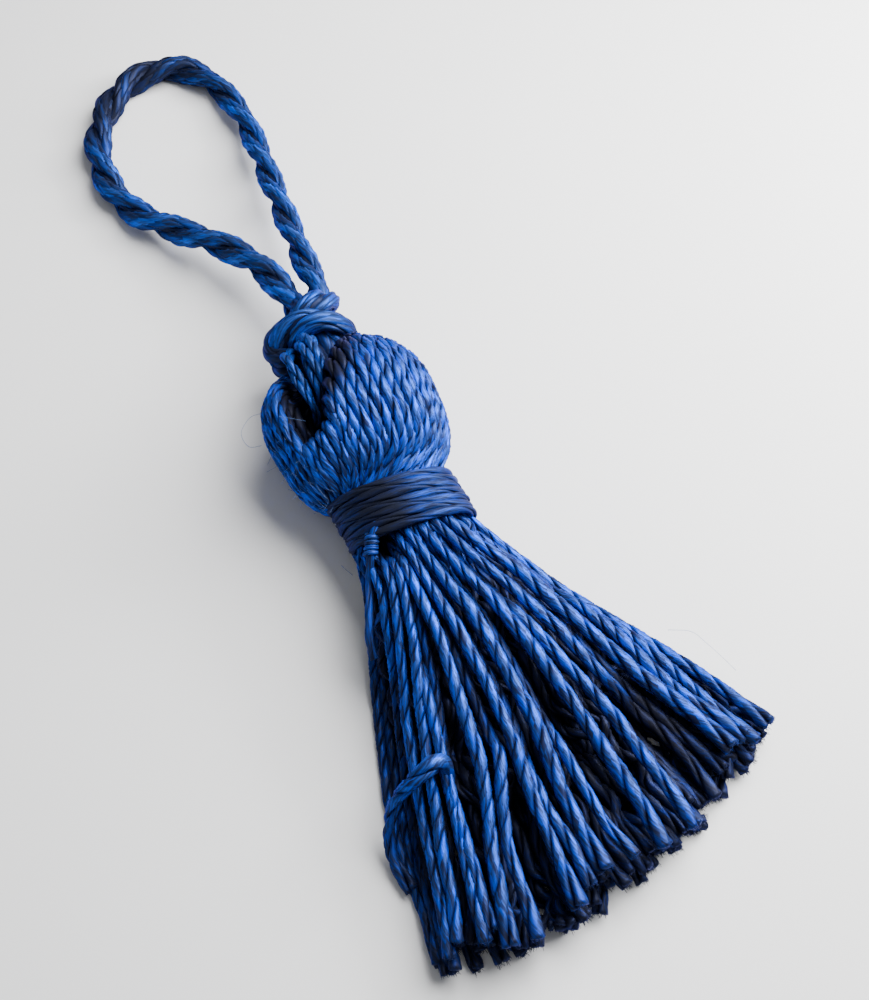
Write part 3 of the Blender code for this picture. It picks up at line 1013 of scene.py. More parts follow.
@dataclass
class NeckBinding:
    """The thread wound round the neck, ended by a half hitch at the lower left.

    The turns lie on a flattened tube that leans towards the skirt at its top and right.
    """

    turns: float = 6.9
    half_width: float = 4.97
    half_height: float = 3.72
    centre: Pair = (0.25, 5.2)
    start: float = 1.75
    end: float = -2.85
    lean_up: float = -0.25
    lean_right: float = -0.14
    yarn: Yarn = Yarn(strands=2, offset=0.13, pitch=8.5, twist=Twist.Z, radius=0.21, width=1.7, lean=0.2)
    start_angle: float = math.radians(150.0)
    step: float = 0.22
    groove_shade: float = 0.7
    swells: tuple[Row, ...] = (
        # how far, rate, phase
        (0.06, 1.37, 1.0),
        (0.05, 3.10, 0.0),
    )
    strays: tuple[Row, ...] = (
        # how far, rate, phase
        (0.16, 1.0, 0.6),
        (0.07, 2.7, 0.0),
    )
    tones: tuple[Row, ...] = (
        # degrees from the top towards the right, tone: painted light and shade, lit right of the top and
        # darkest just left of it
        (-180.0, 0.22),
        (-100.0, 0.12),
        (-60.0, 0.14),
        (-36.0, 0.05),
        (-12.0, 0.02),
        (2.0, 0.14),
        (16.0, 0.42),
        (36.0, 0.42),
        (54.0, 0.20),
        (90.0, 0.18),
        (180.0, 0.25),
    )
    hitch: tuple[Row, Row] = ((-3.3, -2.7, 7.9), (-4.2, -4.2, 7.3))
    hitch_turns: float = 4.5
    hitch_radius: float = 0.42
    hitch_size: float = 0.55
    hitch_tone: float = 0.62
    hitch_stations: int = 90
    tail_size: float = 0.9
    tail_tones: Pair = (0.6, 0.3)
    tail_stations: int = 100
    tail: tuple[Row, ...] = (
        (-2.6, -2.2, 8.3),
        (-3.3, -2.9, 8.0),
        (-4.1, -4.1, 7.4),
        (-4.5, -4.7, 6.5),
        (-5.0, -5.6, 5.8),
        (-5.6, -6.9, 5.7),
        (-6.3, -8.3, 5.4),
        (-6.9, -9.5, 4.9),
        (-7.1, -10.8, 4.0),
    )

    def winding(self) -> tuple[np.ndarray, np.ndarray]:
        """The wound thread's centre line: a helix whose pitch and radius vary a little.

        At the turn t it lies at the angle of t turns, at y = start + (end - start) t / turns plus
        the lean. Small waves of the angle swell and shift it, so that some turns ride up on others.

        Returns:
            Its points, shaped (stations, 3), and their tones of painted light and shade.
        """
        count = round(math.tau * self.half_width * self.turns / self.step)
        share = np.linspace(0.0, 1.0, count)
        angle = self.start_angle + math.tau * self.turns * share
        swell = waves(angle, self.swells)
        x = (self.half_width + swell) * np.sin(angle)
        z = (self.half_height + swell) * np.cos(angle)
        y = lerp(self.start, self.end, share) + self.lean_up * z + self.lean_right * x
        degrees = (np.degrees(angle) + 180.0) % 360.0 - 180.0
        points = np.column_stack([self.centre[0] + x, y + waves(angle, self.strays), self.centre[1] + z])
        return points, looked_up(self.tones, degrees)

    def hitch_coil(self) -> np.ndarray:
        """The half hitch: a small tight helix about the line between its two ends.

        Returns:
            Its points, shaped (stations, 3).
        """
        share = np.linspace(0.0, 1.0, self.hitch_stations)[:, None]
        start, end = np.array(self.hitch)
        along = unit(end - start)
        across = unit(np.cross(along, [0.0, 0.0, 1.0]))
        angle = math.tau * self.hitch_turns * share
        ring = np.cos(angle) * across + np.sin(angle) * np.cross(along, across)
        return lerp(start, end, share) + self.hitch_radius * ring

    def build(self, thread: bpy.types.Material) -> None:
        """Makes the winding and the hitch with its tail as one mesh.

        Args:
            thread: Its finish.
        """
        line, tone = self.winding()
        coil = self.hitch_coil()
        tail = smooth_path(self.tail, self.tail_stations)
        fading = np.linspace(*self.tail_tones, len(tail))
        batches = [
            ply_batch(line[None], self.yarn, tone=tone, groove_shade=self.groove_shade),
            ply_batch(coil[None], self.yarn, self.hitch_size, self.hitch_tone, sides=6),
            ply_batch(tail[None], self.yarn, self.tail_size, fading),
        ]
        piece = mesh_object("wound_binding", batches)
        dress(piece, thread, "neck_binding")


@dataclass
class Head:
    """The folded part of the skein, from the neck over the head to the hollow of its crown.

    Each section is a closed curve round the neck's axis, sunk along the cleft between two lobes.
    """

    sections: tuple[Row, ...] = (
        # y, half_width, half_height, centre_x, centre_z
        (-2.6, 4.70, 3.40, 0.25, 5.2),
        (0.0, 4.70, 3.40, 0.25, 5.2),
        (1.6, 5.15, 3.80, 0.30, 5.2),
        (3.2, 6.15, 4.80, 0.30, 5.4),
        (5.0, 6.95, 5.70, 0.35, 5.7),
        (7.0, 7.20, 6.25, 0.30, 6.0),
        (9.3, 7.35, 6.50, 0.30, 6.1),
        (11.4, 7.05, 6.25, 0.30, 6.0),
        (13.0, 6.30, 5.50, 0.40, 5.9),
        (14.4, 5.10, 4.50, 0.50, 5.8),
        (15.3, 3.90, 3.50, 0.60, 5.7),
        (15.5, 3.00, 2.70, 0.70, 5.7),
        (15.0, 2.10, 1.90, 0.80, 5.7),
        (13.8, 1.30, 1.20, 0.90, 5.7),
    )
    cleft: Pair = (5.6, 14.5)
    cleft_angles: Pair = (math.radians(-43.5), math.radians(-25.0))
    cleft_half_widths: Pair = (1.5, 2.7)
    cleft_widens_until: float = 1.2
    cleft_full: float = 8.6
    cleft_depth: float = 6.0
    cleft_walls: int = 5
    cleft_least_radius: float = 4.5
    cleft_slant: float = 0.35
    cleft_crowding: float = 0.35
    flank: Pair = (0.8, 1.5)
    flank_from: Pair = (0.15, 0.50)
    flank_shade: float = 1.9
    spread_at: float = 9.3
    spread_by: float = 8.5
    leaves_neck: float = -0.6
    free_of_neck: float = 3.4
    thread_room: float = 2.1 * THREAD_RADIUS
    stacked: int = 3
    stacked_at: float = 0.45
    stacked_inwards: float = 0.6
    crown: float = 12.0
    least_reach: float = 0.5
    stations: int = 44
    ring_points: int = 361

    def rows_at_depth(self, depth: float) -> np.ndarray:
        """The sections' rows as they are this deep under the surface.

        The curve of y against the half width, and that against the half height, is moved inwards
        along its own normal by the depth.

        Args:
            depth: The distance under the surface.

        Returns:
            Rows like those of sections, from the neck to the crown.
        """
        rows = smooth_path(self.sections, self.stations)
        slope = np.gradient(rows, axis=0)
        for size in (1, 2):
            length = np.hypot(slope[:, 0], slope[:, size])
            rows[:, size] -= depth * slope[:, 0] / length
        rows[:, 0] += depth * slope[:, 1] / np.hypot(slope[:, 0], slope[:, 1])
        return rows

    def cleft_sink(
        self, along: float, angle: np.ndarray, radius: np.ndarray
    ) -> tuple[np.ndarray, np.ndarray]:
        """How deep the cleft sinks the surface, and how far it shades it.

        The sink is a steep-walled bell of the distance across the cleft. The shade is the sink with
        a second bell beside it, on the steep flank at the cleft's right.

        Args:
            along: The section's y.
            angle: Angles round the section, from its top towards the right.
            radius: The section's radius at each angle.

        Returns:
            The sink and the shade at each angle.
        """
        share = (along - self.cleft[0]) / (self.cleft[1] - self.cleft[0])
        across = (angle - lerp(*self.cleft_angles, share)) * radius
        reach = ramp(along, self.cleft[0], self.cleft_full)
        reach = reach * np.minimum(1.0, radius / self.cleft_least_radius)
        half = lerp(*self.cleft_half_widths, np.clip(share, 0.0, self.cleft_widens_until))
        sink = self.cleft_depth * reach * np.exp(-(np.abs(across / half) ** self.cleft_walls))
        middle, width = self.flank
        flank = np.exp(-(((across - half - middle) / width) ** 2)) * ramp(share, *self.flank_from)
        return sink, sink + self.flank_shade * flank

    def ring(
        self, row: np.ndarray, angle: np.ndarray, sunk: float = 1.0
    ) -> tuple[np.ndarray, np.ndarray, np.ndarray]:
        """A section's curve, which the cleft moves almost straight down.

        Args:
            row: The section's row.
            angle: Angles round it, from its top towards the right.
            sunk: How far the cleft is sunk, as a share of its full depth.

        Returns:
            The curve's x and z at each angle, and how far the cleft shades it there.
        """
        along, half_width, half_height, centre_x, centre_z = row
        radius = np.hypot(half_width * np.sin(angle), half_height * np.cos(angle))
        sink, shade = self.cleft_sink(along, angle, radius)
        x = centre_x + (half_width - self.cleft_slant * sunk * sink) * np.sin(angle)
        z = centre_z + half_height * np.cos(angle) - sunk * sink
        return x, np.maximum(z, THREAD_RADIUS), shade

    def even_angles(self, row: np.ndarray, count: int) -> tuple[np.ndarray, float]:
        """Shares out a section's curve evenly among threads.

        The cleft's walls count for only a part of their height, so that few threads crowd there.

        Args:
            row: The section's row.
            count: How many threads there are.

        Returns:
            The threads' angles, and the length of the curve.
        """
        angle = np.linspace(-math.pi, math.pi, self.ring_points)
        x, z, _ = self.ring(row, angle, self.cleft_crowding)
        length = np.concatenate([[0.0], np.cumsum(np.hypot(np.diff(x), np.diff(z)))])
        return np.interp(length[-1] * (np.arange(count) + 0.5) / count, length, angle), length[-1]

    def lay(self, count: int, depth: float, stack: float) -> tuple[np.ndarray, np.ndarray]:
        """Lays threads round the head.

        At the neck the threads share out the section's curve evenly. Further on they drift to the
        angles at which they share out the widest section, and keep them over the crown. Where they
        don't fit side by side, every second and third one sinks under its neighbours.

        Args:
            count: How many threads there are.
            depth: How deep their centres lie under the surface.
            stack: How far a thread sinks under its neighbour where they crowd.

        Returns:
            The threads' points, shaped (count, stations, 3), from the neck to the crown, and how
            far the cleft shades each of them, shaped (count, stations).
        """
        rows = self.rows_at_depth(depth)
        kept, _ = self.even_angles(rows[np.abs(rows[:, 0] - self.spread_at).argmin()], count)
        order = np.arange(count)
        points, shades = [], []
        for station, row in enumerate(rows):
            along, _, _, centre_x, centre_z = row
            even, length = self.even_angles(row, count)
            past = station > len(rows) / 2
            drift = 1.0 if past else smooth_step((along - self.leaves_neck) / self.spread_by)
            x, z, shade = self.ring(row, lerp(even, kept, drift))
            crowding = 1.0 - length / (self.thread_room * count)
            under = stack * (order % self.stacked) * smooth_step(crowding / self.stacked_at)
            inward = np.stack([centre_x - x, centre_z - z])
            inward = inward / np.maximum(np.linalg.norm(inward, axis=0), self.least_reach)
            x, z = np.stack([x, z]) + self.stacked_inwards * under * inward
            points.append(np.column_stack([x, along - under * (along > self.crown), z]))
            shades.append(shade)
        return np.stack(points, axis=1), np.stack(shades, axis=1)


@dataclass
class Skirt:
    """The cut part of the skein, which spreads from a point behind the neck.

    A place in it is a share of the way along, from the neck to the tips, and a share of its half
    width across. The threads that show on its top, here its ridges, are listed one by one. The others
    fill it up underneath them.
    """

    threads: int = 104
    apex: Pair = (-1.2, 7.3)
    middle: float = math.radians(6.4)
    start: float = 9.9
    end: float = 41.2
    stations: int = 21
    root_radius: float = 3.85
    root_flare: float = 0.4
    flare_ends: float = 0.12
    tip_half_width: float = 17.2
    unevenness: float = 0.9
    cut_rate: float = 7.3
    spacing: Pair = (0.70, 1.02)
    wander: float = 0.35
    wander_rates: Row = (1.0, 1.7, 2.9)
    wander_up: float = 0.6
    wander_from: float = 0.25
    drop: float = 1.15
    fill_drop: float = 1.75
    fill_drops_by: float = 0.25
    flat_from: float = 0.4
    side_powers: Pair = (4.0, 2.0)
    side_limit: float = 0.97
    blend: float = 0.12
    hollow_blend: float = 0.1
    rounds: int = 160
    push: float = 0.25
    heights: tuple[Row, ...] = (
        # along, underside, highest
        (0.00, 1.70, 8.15),
        (0.12, 1.00, 8.25),
        (0.30, 0.25, 7.75),
        (0.50, 0.00, 6.60),
        (0.75, 0.00, 5.30),
        (1.00, 0.00, 4.70),
    )
    tips: tuple[Row, ...] = (
        # across, along
        (-1.00, 1.03),
        (-0.50, 1.03),
        (0.00, 1.00),
        (0.50, 0.98),
        (0.80, 0.97),
        (1.00, 0.94),
    )
    growth: tuple[Row, ...] = (
        # along, the threads' thickness as a share of that on the head
        (0.00, 0.92),
        (0.20, 1.18),
        (0.40, 1.34),
        (1.00, 1.46),
    )
    limits: tuple[Row, ...] = (
        # along, how far out the other threads may lie at the left, and at the right
        (0.00, 1.00, 1.00),
        (0.10, 1.05, 1.00),
        (0.45, 1.08, 0.98),
        (0.80, 1.05, 0.95),
        (1.00, 0.94, 0.91),
    )
    hollows: tuple[Row, ...] = (
        # across, half width, from, to, how deep, and how deep for the ridges
        (0.49, 0.09, 0.66, 1.20, 2.2, 1.0),
        (-0.37, 0.07, 0.30, 0.55, 2.0, 0.0),
        (-0.60, 0.07, 0.28, 0.58, 2.0, 0.0),
        (0.07, 0.06, 0.32, 0.72, 2.0, 0.0),
        (-0.46, 0.06, 0.68, 0.98, 2.0, 0.0),
        (-0.18, 0.06, 0.14, 0.42, 1.8, 0.0),
        (-0.60, 0.20, -0.20, 0.08, 3.2, 2.6),
    )
    ridge_shares: Row = (0.0, 0.15, 0.3, 0.45, 0.6, 0.7, 0.8, 0.9, 1.0)
    ridges: tuple[Row, ...] = (
        # surfaces, sinks, size, then the place across at each of the ridge shares
        (2.00, 3.00, 0.90, -1.02, -1.06, -1.08, -1.09, -1.08, -1.06, -1.01, -0.97, -0.95),
        (2.00, 3.00, 0.95, -0.98, -1.00, -1.02, -1.03, -1.03, -1.02, -0.97, -0.93, -0.91),
        (0.00, 0.30, 0.90, -0.97, -0.88, -0.91, -0.95, -0.97, -0.97, -0.96, -0.95, -0.94),
        (0.00, 2.00, 0.90, -0.75, -0.72, -0.81, -0.88, -0.90, -0.91, -0.90, -0.90, -0.91),
        (0.00, 2.00, 0.95, -0.60, -0.59, -0.66, -0.75, -0.80, -0.81, -0.83, -0.83, -0.85),
        (0.40, 2.00, 0.88, -0.66, -0.64, -0.63, -0.68, -0.70, -0.70, -0.70, -0.70, -0.70),
        (0.62, 2.00, 0.88, -0.50, -0.52, -0.56, -0.62, -0.71, -0.73, -0.74, -0.75, -0.75),
        (0.00, 2.00, 1.12, -0.48, -0.47, -0.44, -0.48, -0.51, -0.56, -0.62, -0.65, -0.67),
        (0.58, 2.00, 1.00, -0.42, -0.36, -0.35, -0.36, -0.38, -0.48, -0.54, -0.55, -0.56),
        (0.00, 2.00, 1.10, -0.35, -0.31, -0.25, -0.24, -0.26, -0.30, -0.32, -0.33, -0.34),
        (0.70, 2.00, 0.92, -0.22, -0.20, -0.17, -0.16, -0.19, -0.24, -0.26, -0.24, -0.25),
        (0.00, 2.00, 1.22, -0.20, -0.12, -0.04, -0.05, -0.07, -0.11, -0.15, -0.16, -0.16),
        (0.66, 2.00, 0.88, -0.02, 0.02, 0.06, 0.04, 0.00, -0.02, -0.04, -0.05, -0.02),
        (0.00, 2.00, 1.22, 0.02, 0.12, 0.21, 0.22, 0.20, 0.18, 0.16, 0.14, 0.11),
        (0.33, 2.00, 1.10, 0.20, 0.25, 0.30, 0.34, 0.35, 0.35, 0.32, 0.30, 0.27),
        (0.00, 0.66, 1.05, 0.27, 0.37, 0.46, 0.50, 0.48, 0.52, 0.54, 0.52, 0.48),
        (2.00, 3.00, 1.00, 0.35, 0.46, 0.55, 0.58, 0.57, 0.57, 0.58, 0.58, 0.58),
        (0.00, 2.00, 1.25, 0.48, 0.58, 0.69, 0.67, 0.66, 0.65, 0.66, 0.66, 0.65),
        (0.40, 2.00, 1.05, 0.66, 0.74, 0.83, 0.84, 0.80, 0.75, 0.73, 0.74, 0.74),
        (0.50, 2.00, 1.00, 0.78, 0.86, 0.92, 0.93, 0.90, 0.86, 0.82, 0.79, 0.78),
        (0.00, 2.00, 1.05, 0.90, 0.98, 1.00, 1.00, 0.99, 0.98, 0.96, 0.93, 0.90),
    )

    def half_width(self, share: float) -> float:
        """Half of the width between the outermost threads at this share of the way."""
        flare = self.root_flare * (1.0 - smooth_step(share / self.flare_ends))
        return lerp(self.root_radius, self.tip_half_width, share) + flare

    def height_range(self, share: float) -> Pair:
        """The heights of the lowest and the highest thread at this share of the way."""
        underside, highest = (looked_up(self.heights, share, column) for column in (1, 2))
        return underside + THREAD_RADIUS * self.grown(share), highest

    def grown(self, share: Values) -> Values:
        """The threads' thickness at this share of the way, as a share of that on the head."""
        return looked_up(self.growth, share)

    def shown(self, share: float, start: Values, end: Values, blend: float) -> np.ndarray:
        """A smooth 1 between a start and an end, and 0 past them, with a blend at each."""
        risen, fallen = (smooth_step((share - place) / blend + 0.5) for place in (start, end))
        return risen * (1.0 - fallen)

    def hollow(self, share: float, across: np.ndarray, ridges: bool = False) -> np.ndarray:
        """How far the hollows push threads down: each is a bell across.

        Args:
            share: The share of the way along.
            across: Places across, as shares of the half width.
            ridges: Whether the threads are the ridges.

        Returns:
            The depth of the deepest hollow at each place.
        """
        middle, half, start, end, *depths = np.array(self.hollows).T[:, :, None]
        reach = self.shown(share, start, end, self.hollow_blend)
        bells = depths[ridges] * reach * np.exp(-(((across - middle) / half) ** 2))
        return bells.max(axis=0)

    def surface(self, share: float, across: np.ndarray) -> np.ndarray:
        """The height of the skirt's top.

        Near the neck the section is round, and further on its underside is flat. The top's curve
        is the square root of 1 - |across| to a power, which is higher on the steep left side.

        Args:
            share: The share of the way along.
            across: Places across, as shares of the half width.

        Returns:
            The heights of the centres of the threads that lie there.
        """
        lowest, highest = self.height_range(share)
        power = np.where(across < 0, *self.side_powers)
        curve = np.sqrt(1.0 - np.clip(np.abs(across) ** power, 0.0, self.side_limit))
        middle = lerp(1.0, curve, smooth_step(share / self.flat_from))
        return lowest + (highest - lowest) * (curve + middle) / 2

    def ridge_places(self, share: float) -> np.ndarray:
        """Where the ridges lie in a section.

        Args:
            share: The share of the way along.

        Returns:
            Rows of (across, height) in millimetres.
        """
        table = np.array(self.ridges)
        across = np.array([np.interp(share, self.ridge_shares, row[3:]) for row in table])
        shown = self.shown(share, table[:, 0], table[:, 1], self.blend)
        height = self.surface(share, across) - self.drop * (1.0 - shown)
        height = height - self.hollow(share, across, ridges=True)
        lowest, _ = self.height_range(share)
        return np.column_stack([across * self.half_width(share), np.maximum(height, lowest)])

    def disc(self) -> np.ndarray:
        """Places in a circle of radius 1 for the other threads: a sunflower spiral.

        The place i of n lies at the root of (i + 1/2) / n from the middle, i golden angles round.

        Returns:
            Rows of (across, up).
        """
        count = self.threads - len(self.ridges)
        index = np.arange(count)
        radius = np.sqrt((index + 0.5) / count)
        angle = index * math.pi * (3.0 - math.sqrt(5.0))
        return np.column_stack([radius * np.cos(angle), radius * np.sin(angle)])

    def pushed_apart(self, places: np.ndarray, share: float) -> np.ndarray:
        """Moves the threads of a section until they lie about a spacing apart.

        Each round moves a thread away from every nearer neighbour by a share of the overlap. The
        ridges stay. The others stay above the lowest height, under the ridges and in the width.

        Args:
            places: Rows of (across, height) in millimetres, those of the ridges first.
            share: The share of the way along.

        Returns:
            The new places.
        """
        places = places.copy()
        spacing = lerp(*self.spacing, smooth_step(share / self.flat_from))
        lowest, _ = self.height_range(share)
        half = self.half_width(share)
        left, right = (half * looked_up(self.limits, share, column) for column in (1, 2))
        drop = self.fill_drop * smooth_step(share / self.fill_drops_by)
        moved = slice(len(self.ridges), None)
        for _ in range(self.rounds):
            offsets = places[:, None] - places[None]
            distances = np.maximum(np.linalg.norm(offsets, axis=2), TINY)
            np.fill_diagonal(distances, spacing)
            overlap = np.clip(spacing - distances, 0.0, None)
            steps = (offsets * (overlap / distances)[:, :, None]).sum(axis=1)
            places[moved] += self.push * steps[moved]
            places[moved, 0] = np.clip(places[moved, 0], -left, right)
            across = places[moved, 0] / half
            ceiling = self.surface(share, across) - drop - self.hollow(share, across)
            places[moved, 1] = np.clip(places[moved, 1], lowest, np.maximum(ceiling, lowest))
        return places

    def sections(self) -> tuple[np.ndarray, np.ndarray]:
        """The threads' places at each station, and how deep each lies in the skirt.

        Returns:
            Places shaped (stations, threads, 2), and depths shaped (stations, threads).
        """
        disc = self.disc()
        phases = RANDOM.uniform(0.0, math.tau, (2, len(self.wander_rates), len(disc)))
        rates = np.array(self.wander_rates)[:, None]
        places, depths = [], []
        for share in np.linspace(0.0, 1.0, self.stations):
            half = self.half_width(share)
            lowest, _ = self.height_range(share)
            reach = self.wander * smooth_step(share / self.wander_from)
            sideways, upwards = reach * np.sin(rates * math.pi * share + phases).sum(axis=1)
            across = half * disc[:, 0] + sideways
            top = self.surface(share, np.clip(across / half, -1.0, 1.0))
            height = lowest + (top - lowest) * (0.5 + 0.5 * disc[:, 1]) + self.wander_up * upwards
            first = np.vstack([self.ridge_places(share), np.column_stack([across, height])])
            section = self.pushed_apart(first, share)
            top = self.surface(share, np.clip(section[:, 0] / half, -1.0, 1.0))
            places.append(section)
            depths.append(np.clip(top - section[:, 1], 0.0, None))
        return np.array(places), np.array(depths)

    def ends(self, places: np.ndarray) -> np.ndarray:
        """Where each thread is cut, from its place at the tips.

        Args:
            places: Rows of (across, height) at the tips, in millimetres.

        Returns:
            The share of the way at which each thread ends.
        """
        uneven = self.unevenness * np.sin(self.cut_rate * np.arange(self.threads))
        even = looked_up(self.tips, places[:, 0] / self.tip_half_width)
        return even + uneven / (self.end - self.start)

    def fan_points(self, distance: np.ndarray, across: np.ndarray, height: np.ndarray) -> np.ndarray:
        """Points of the fan.

        Args:
            distance: How far they lie from the fan's apex.
            across: How far they lie from the fan's middle, along the arc there.
            height: Their heights.

        Returns:
            The points, shaped like these with three coordinates added.
        """
        angle = self.middle + across / distance
        x = self.apex[0] + distance * np.sin(angle)
        return np.stack([x, self.apex[1] - distance * np.cos(angle), height], axis=-1)


@dataclass
class Skein:
    """The threads of the tassel, each from the crown over the head and the neck to its cut end."""

    head: Head = field(default_factory=Head)
    skirt: Skirt = field(default_factory=Skirt)
    outer_threads: int = 45
    layer: float = 0.70
    stack: float = 0.75
    inner_shade: float = 1.2
    jitter: float = 0.06
    jitter_knots: int = 6
    bound_margin: float = 0.5
    thread_length: float = 64.0
    step: float = 0.27
    bundles: int = 5
    sides: tuple[int, int] = (8, 6)
    loose_from: float = 0.3
    chance_sizes: Pair = (0.85, 1.05)
    chance_tones: Pair = (0.85, 1.12)
    chance_rates: Pair = (0.85, 1.15)
    tone_limits: Pair = (0.04, 1.2)
    # Painted shade: darker at the crown, in and beside the cleft, and in the skirt the deeper a thread
    # lies.
    crown_shade: float = 0.25
    crown_share: float = 0.3
    cleft_dark: float = 0.96
    cleft_dark_at: float = 1.4
    dark_from: float = 0.2
    dark_reach: Pair = (2.1, 1.35)
    dark_reach_until: float = 0.5
    dark_share: Pair = (0.93, 0.72)
    dark_fades_from: float = 0.8
    open_end: float = 3.5
    opening: Pair = (0.30, 0.15)
    dull_end: float = 2.4
    end_tone: float = 0.45
    swelling: float = 0.07
    swelling_rate: float = 0.55
    lay_waves: tuple[Pair, Pair] = ((0.22, 0.9), (0.16, 2.1))
    untwisting: float = 9.0
    untwisted: float = 0.5
    least_rate: float = 1.22
    # the painted shade between the plies, which fades along the thread between two lengths
    groove_shade: Pair = (0.9, 0.5)
    grooves_fade: Pair = (24.0, 58.0)
    skirt_tones: tuple[Row, ...] = (
        # share of the way along the skirt, tone
        (0.00, 0.90),
        (0.40, 0.85),
        (0.80, 0.66),
        (1.00, 0.58),
    )
    head_growth: tuple[Row, ...] = (
        # share of the way from the crown to the neck, thickness
        (0.00, 0.90),
        (0.25, 1.20),
        (0.45, 1.38),
        (0.78, 1.38),
        (1.00, 0.92),
    )
    crossing_from: Pair = (-6.2, 3.0)
    crossing_leaves: float = 0.5
    crossing_route: tuple[Row, ...] = (
        # x, y, z, thickness, tone: painted light on the top of its arch, shade at its ends
        (-6.4, -22.1, 3.4, 1.1, 0.30),
        (-6.3, -21.8, 5.0, 1.2, 0.60),
        (-6.6, -21.3, 6.2, 1.4, 0.90),
        (-7.5, -21.4, 6.7, 1.4, 1.00),
        (-8.6, -21.6, 6.4, 1.2, 1.00),
        (-9.5, -21.7, 5.7, 1.1, 0.90),
        (-10.6, -21.9, 4.4, 1.0, 0.70),
        (-11.4, -22.5, 3.0, 1.0, 0.50),
        (-12.0, -23.5, 1.8, 1.0, 0.35),
        (-12.3, -24.8, 1.1, 1.0, 0.30),
        (-12.2, -26.2, 0.8, 1.0, 0.40),
        (-12.0, -27.4, 0.7, 1.0, 0.50),
    )

    def routes(self) -> tuple[np.ndarray, np.ndarray, np.ndarray]:
        """Each thread's centre line, with its tones and its thickness along it.

        Returns:
            Points shaped (threads, stations, 3), then tones and factors on the thread's thickness,
            both shaped (threads, stations).
        """
        skirt = self.skirt
        places, depths = skirt.sections()
        shares = np.linspace(0.0, 1.0, skirt.stations)
        distance = lerp(skirt.start, skirt.end, shares[:, None] * skirt.ends(places[-1]))
        fan = skirt.fan_points(distance, places[:, :, 0], places[:, :, 1])
        head, cleft_shades = self.head_points(fan[0])
        loosened = lerp(1.0, self.sizes()[:, None], smooth_step(shares / self.loose_from))
        over = np.linspace(0.0, 1.0, head.shape[1])
        bound = np.broadcast_to(looked_up(self.head_growth, over), head.shape[:2])
        skirt_tones = looked_up(self.skirt_tones, shares) * self.depth_shading(depths.T)
        knots = np.concatenate([head, fan.swapaxes(0, 1)], axis=1)
        tones = np.concatenate([self.cleft_shading(cleft_shades), skirt_tones], axis=1)
        sizes = np.concatenate([bound, skirt.grown(shares) * loosened], axis=1)
        rows = list(np.concatenate([knots, COLUMN_SCALE * np.stack([tones, sizes], axis=-1)], axis=-1))
        leaves = int(self.crossing_leaves * (skirt.stations - 1))
        crossing = self.crossing_thread(places[leaves])
        rows[crossing] = self.crossed(rows[crossing], len(over) + leaves + 1)
        count = round(self.thread_length / self.step)
        smooth = np.array([smooth_path(row, count) for row in rows])
        tones, sizes = smooth[:, :, 3] / COLUMN_SCALE, smooth[:, :, 4] / COLUMN_SCALE
        return smooth[:, :, :3], np.clip(tones, *self.tone_limits), sizes

    def crossing_thread(self, places: np.ndarray) -> int:
        """The number of the thread that crosses over, from the places where it leaves the rest."""
        ridges = len(self.skirt.ridges)
        return ridges + np.linalg.norm(places[ridges:] - np.array(self.crossing_from), axis=1).argmin()

    def crossed(self, rows: np.ndarray, kept: int) -> np.ndarray:
        """Sends a thread over its neighbours.

        Args:
            rows: The thread's rows of x, y, z, and its scaled tone and thickness.
            kept: How many of its rows it keeps before it leaves them for its own route.

        Returns:
            Its new rows.
        """
        route = np.array(self.crossing_route)
        sizes = rows[kept - 1, 4] * route[:, 3]
        return np.vstack([rows[:kept], np.column_stack([route[:, :3], COLUMN_SCALE * route[:, 4], sizes])])

    def sizes(self) -> np.ndarray:
        """How thick each thread is, as a share: the ridges by their table, the others by chance."""
        ridges = [row[2] for row in self.skirt.ridges]
        return np.array([*ridges, *RANDOM.uniform(*self.chance_sizes, self.skirt.threads - len(ridges))])

    def cleft_shading(self, shades: np.ndarray) -> np.ndarray:
        """The painted shade of threads on the head: darker where the cleft shades them, and at the crown.

        Args:
            shades: How far the cleft shades them, shaped (threads, stations).

        Returns:
            The tones, shaped alike.
        """
        crown = smooth_step(np.linspace(0.0, 1.0, shades.shape[1]) / self.crown_share)
        lit = 1.0 - self.cleft_dark * smooth_step(shades / self.cleft_dark_at)
        return lit * lerp(self.crown_shade, 1.0, crown)

    def depth_shading(self, depths: np.ndarray) -> np.ndarray:
        """The painted shade of threads in the skirt: the deeper, the darker, and more so far from the neck.

        Args:
            depths: How deep they lie, shaped (threads, stations).

        Returns:
            The tones, shaped alike.
        """
        share = np.linspace(0.0, 1.0, depths.shape[1])
        reach = lerp(*self.dark_reach, smooth_step(share / self.dark_reach_until))
        strength = lerp(*self.dark_share, ramp(share, self.dark_fades_from, 1.0))
        return 1.0 - strength * smooth_step((depths - self.dark_from) / reach)

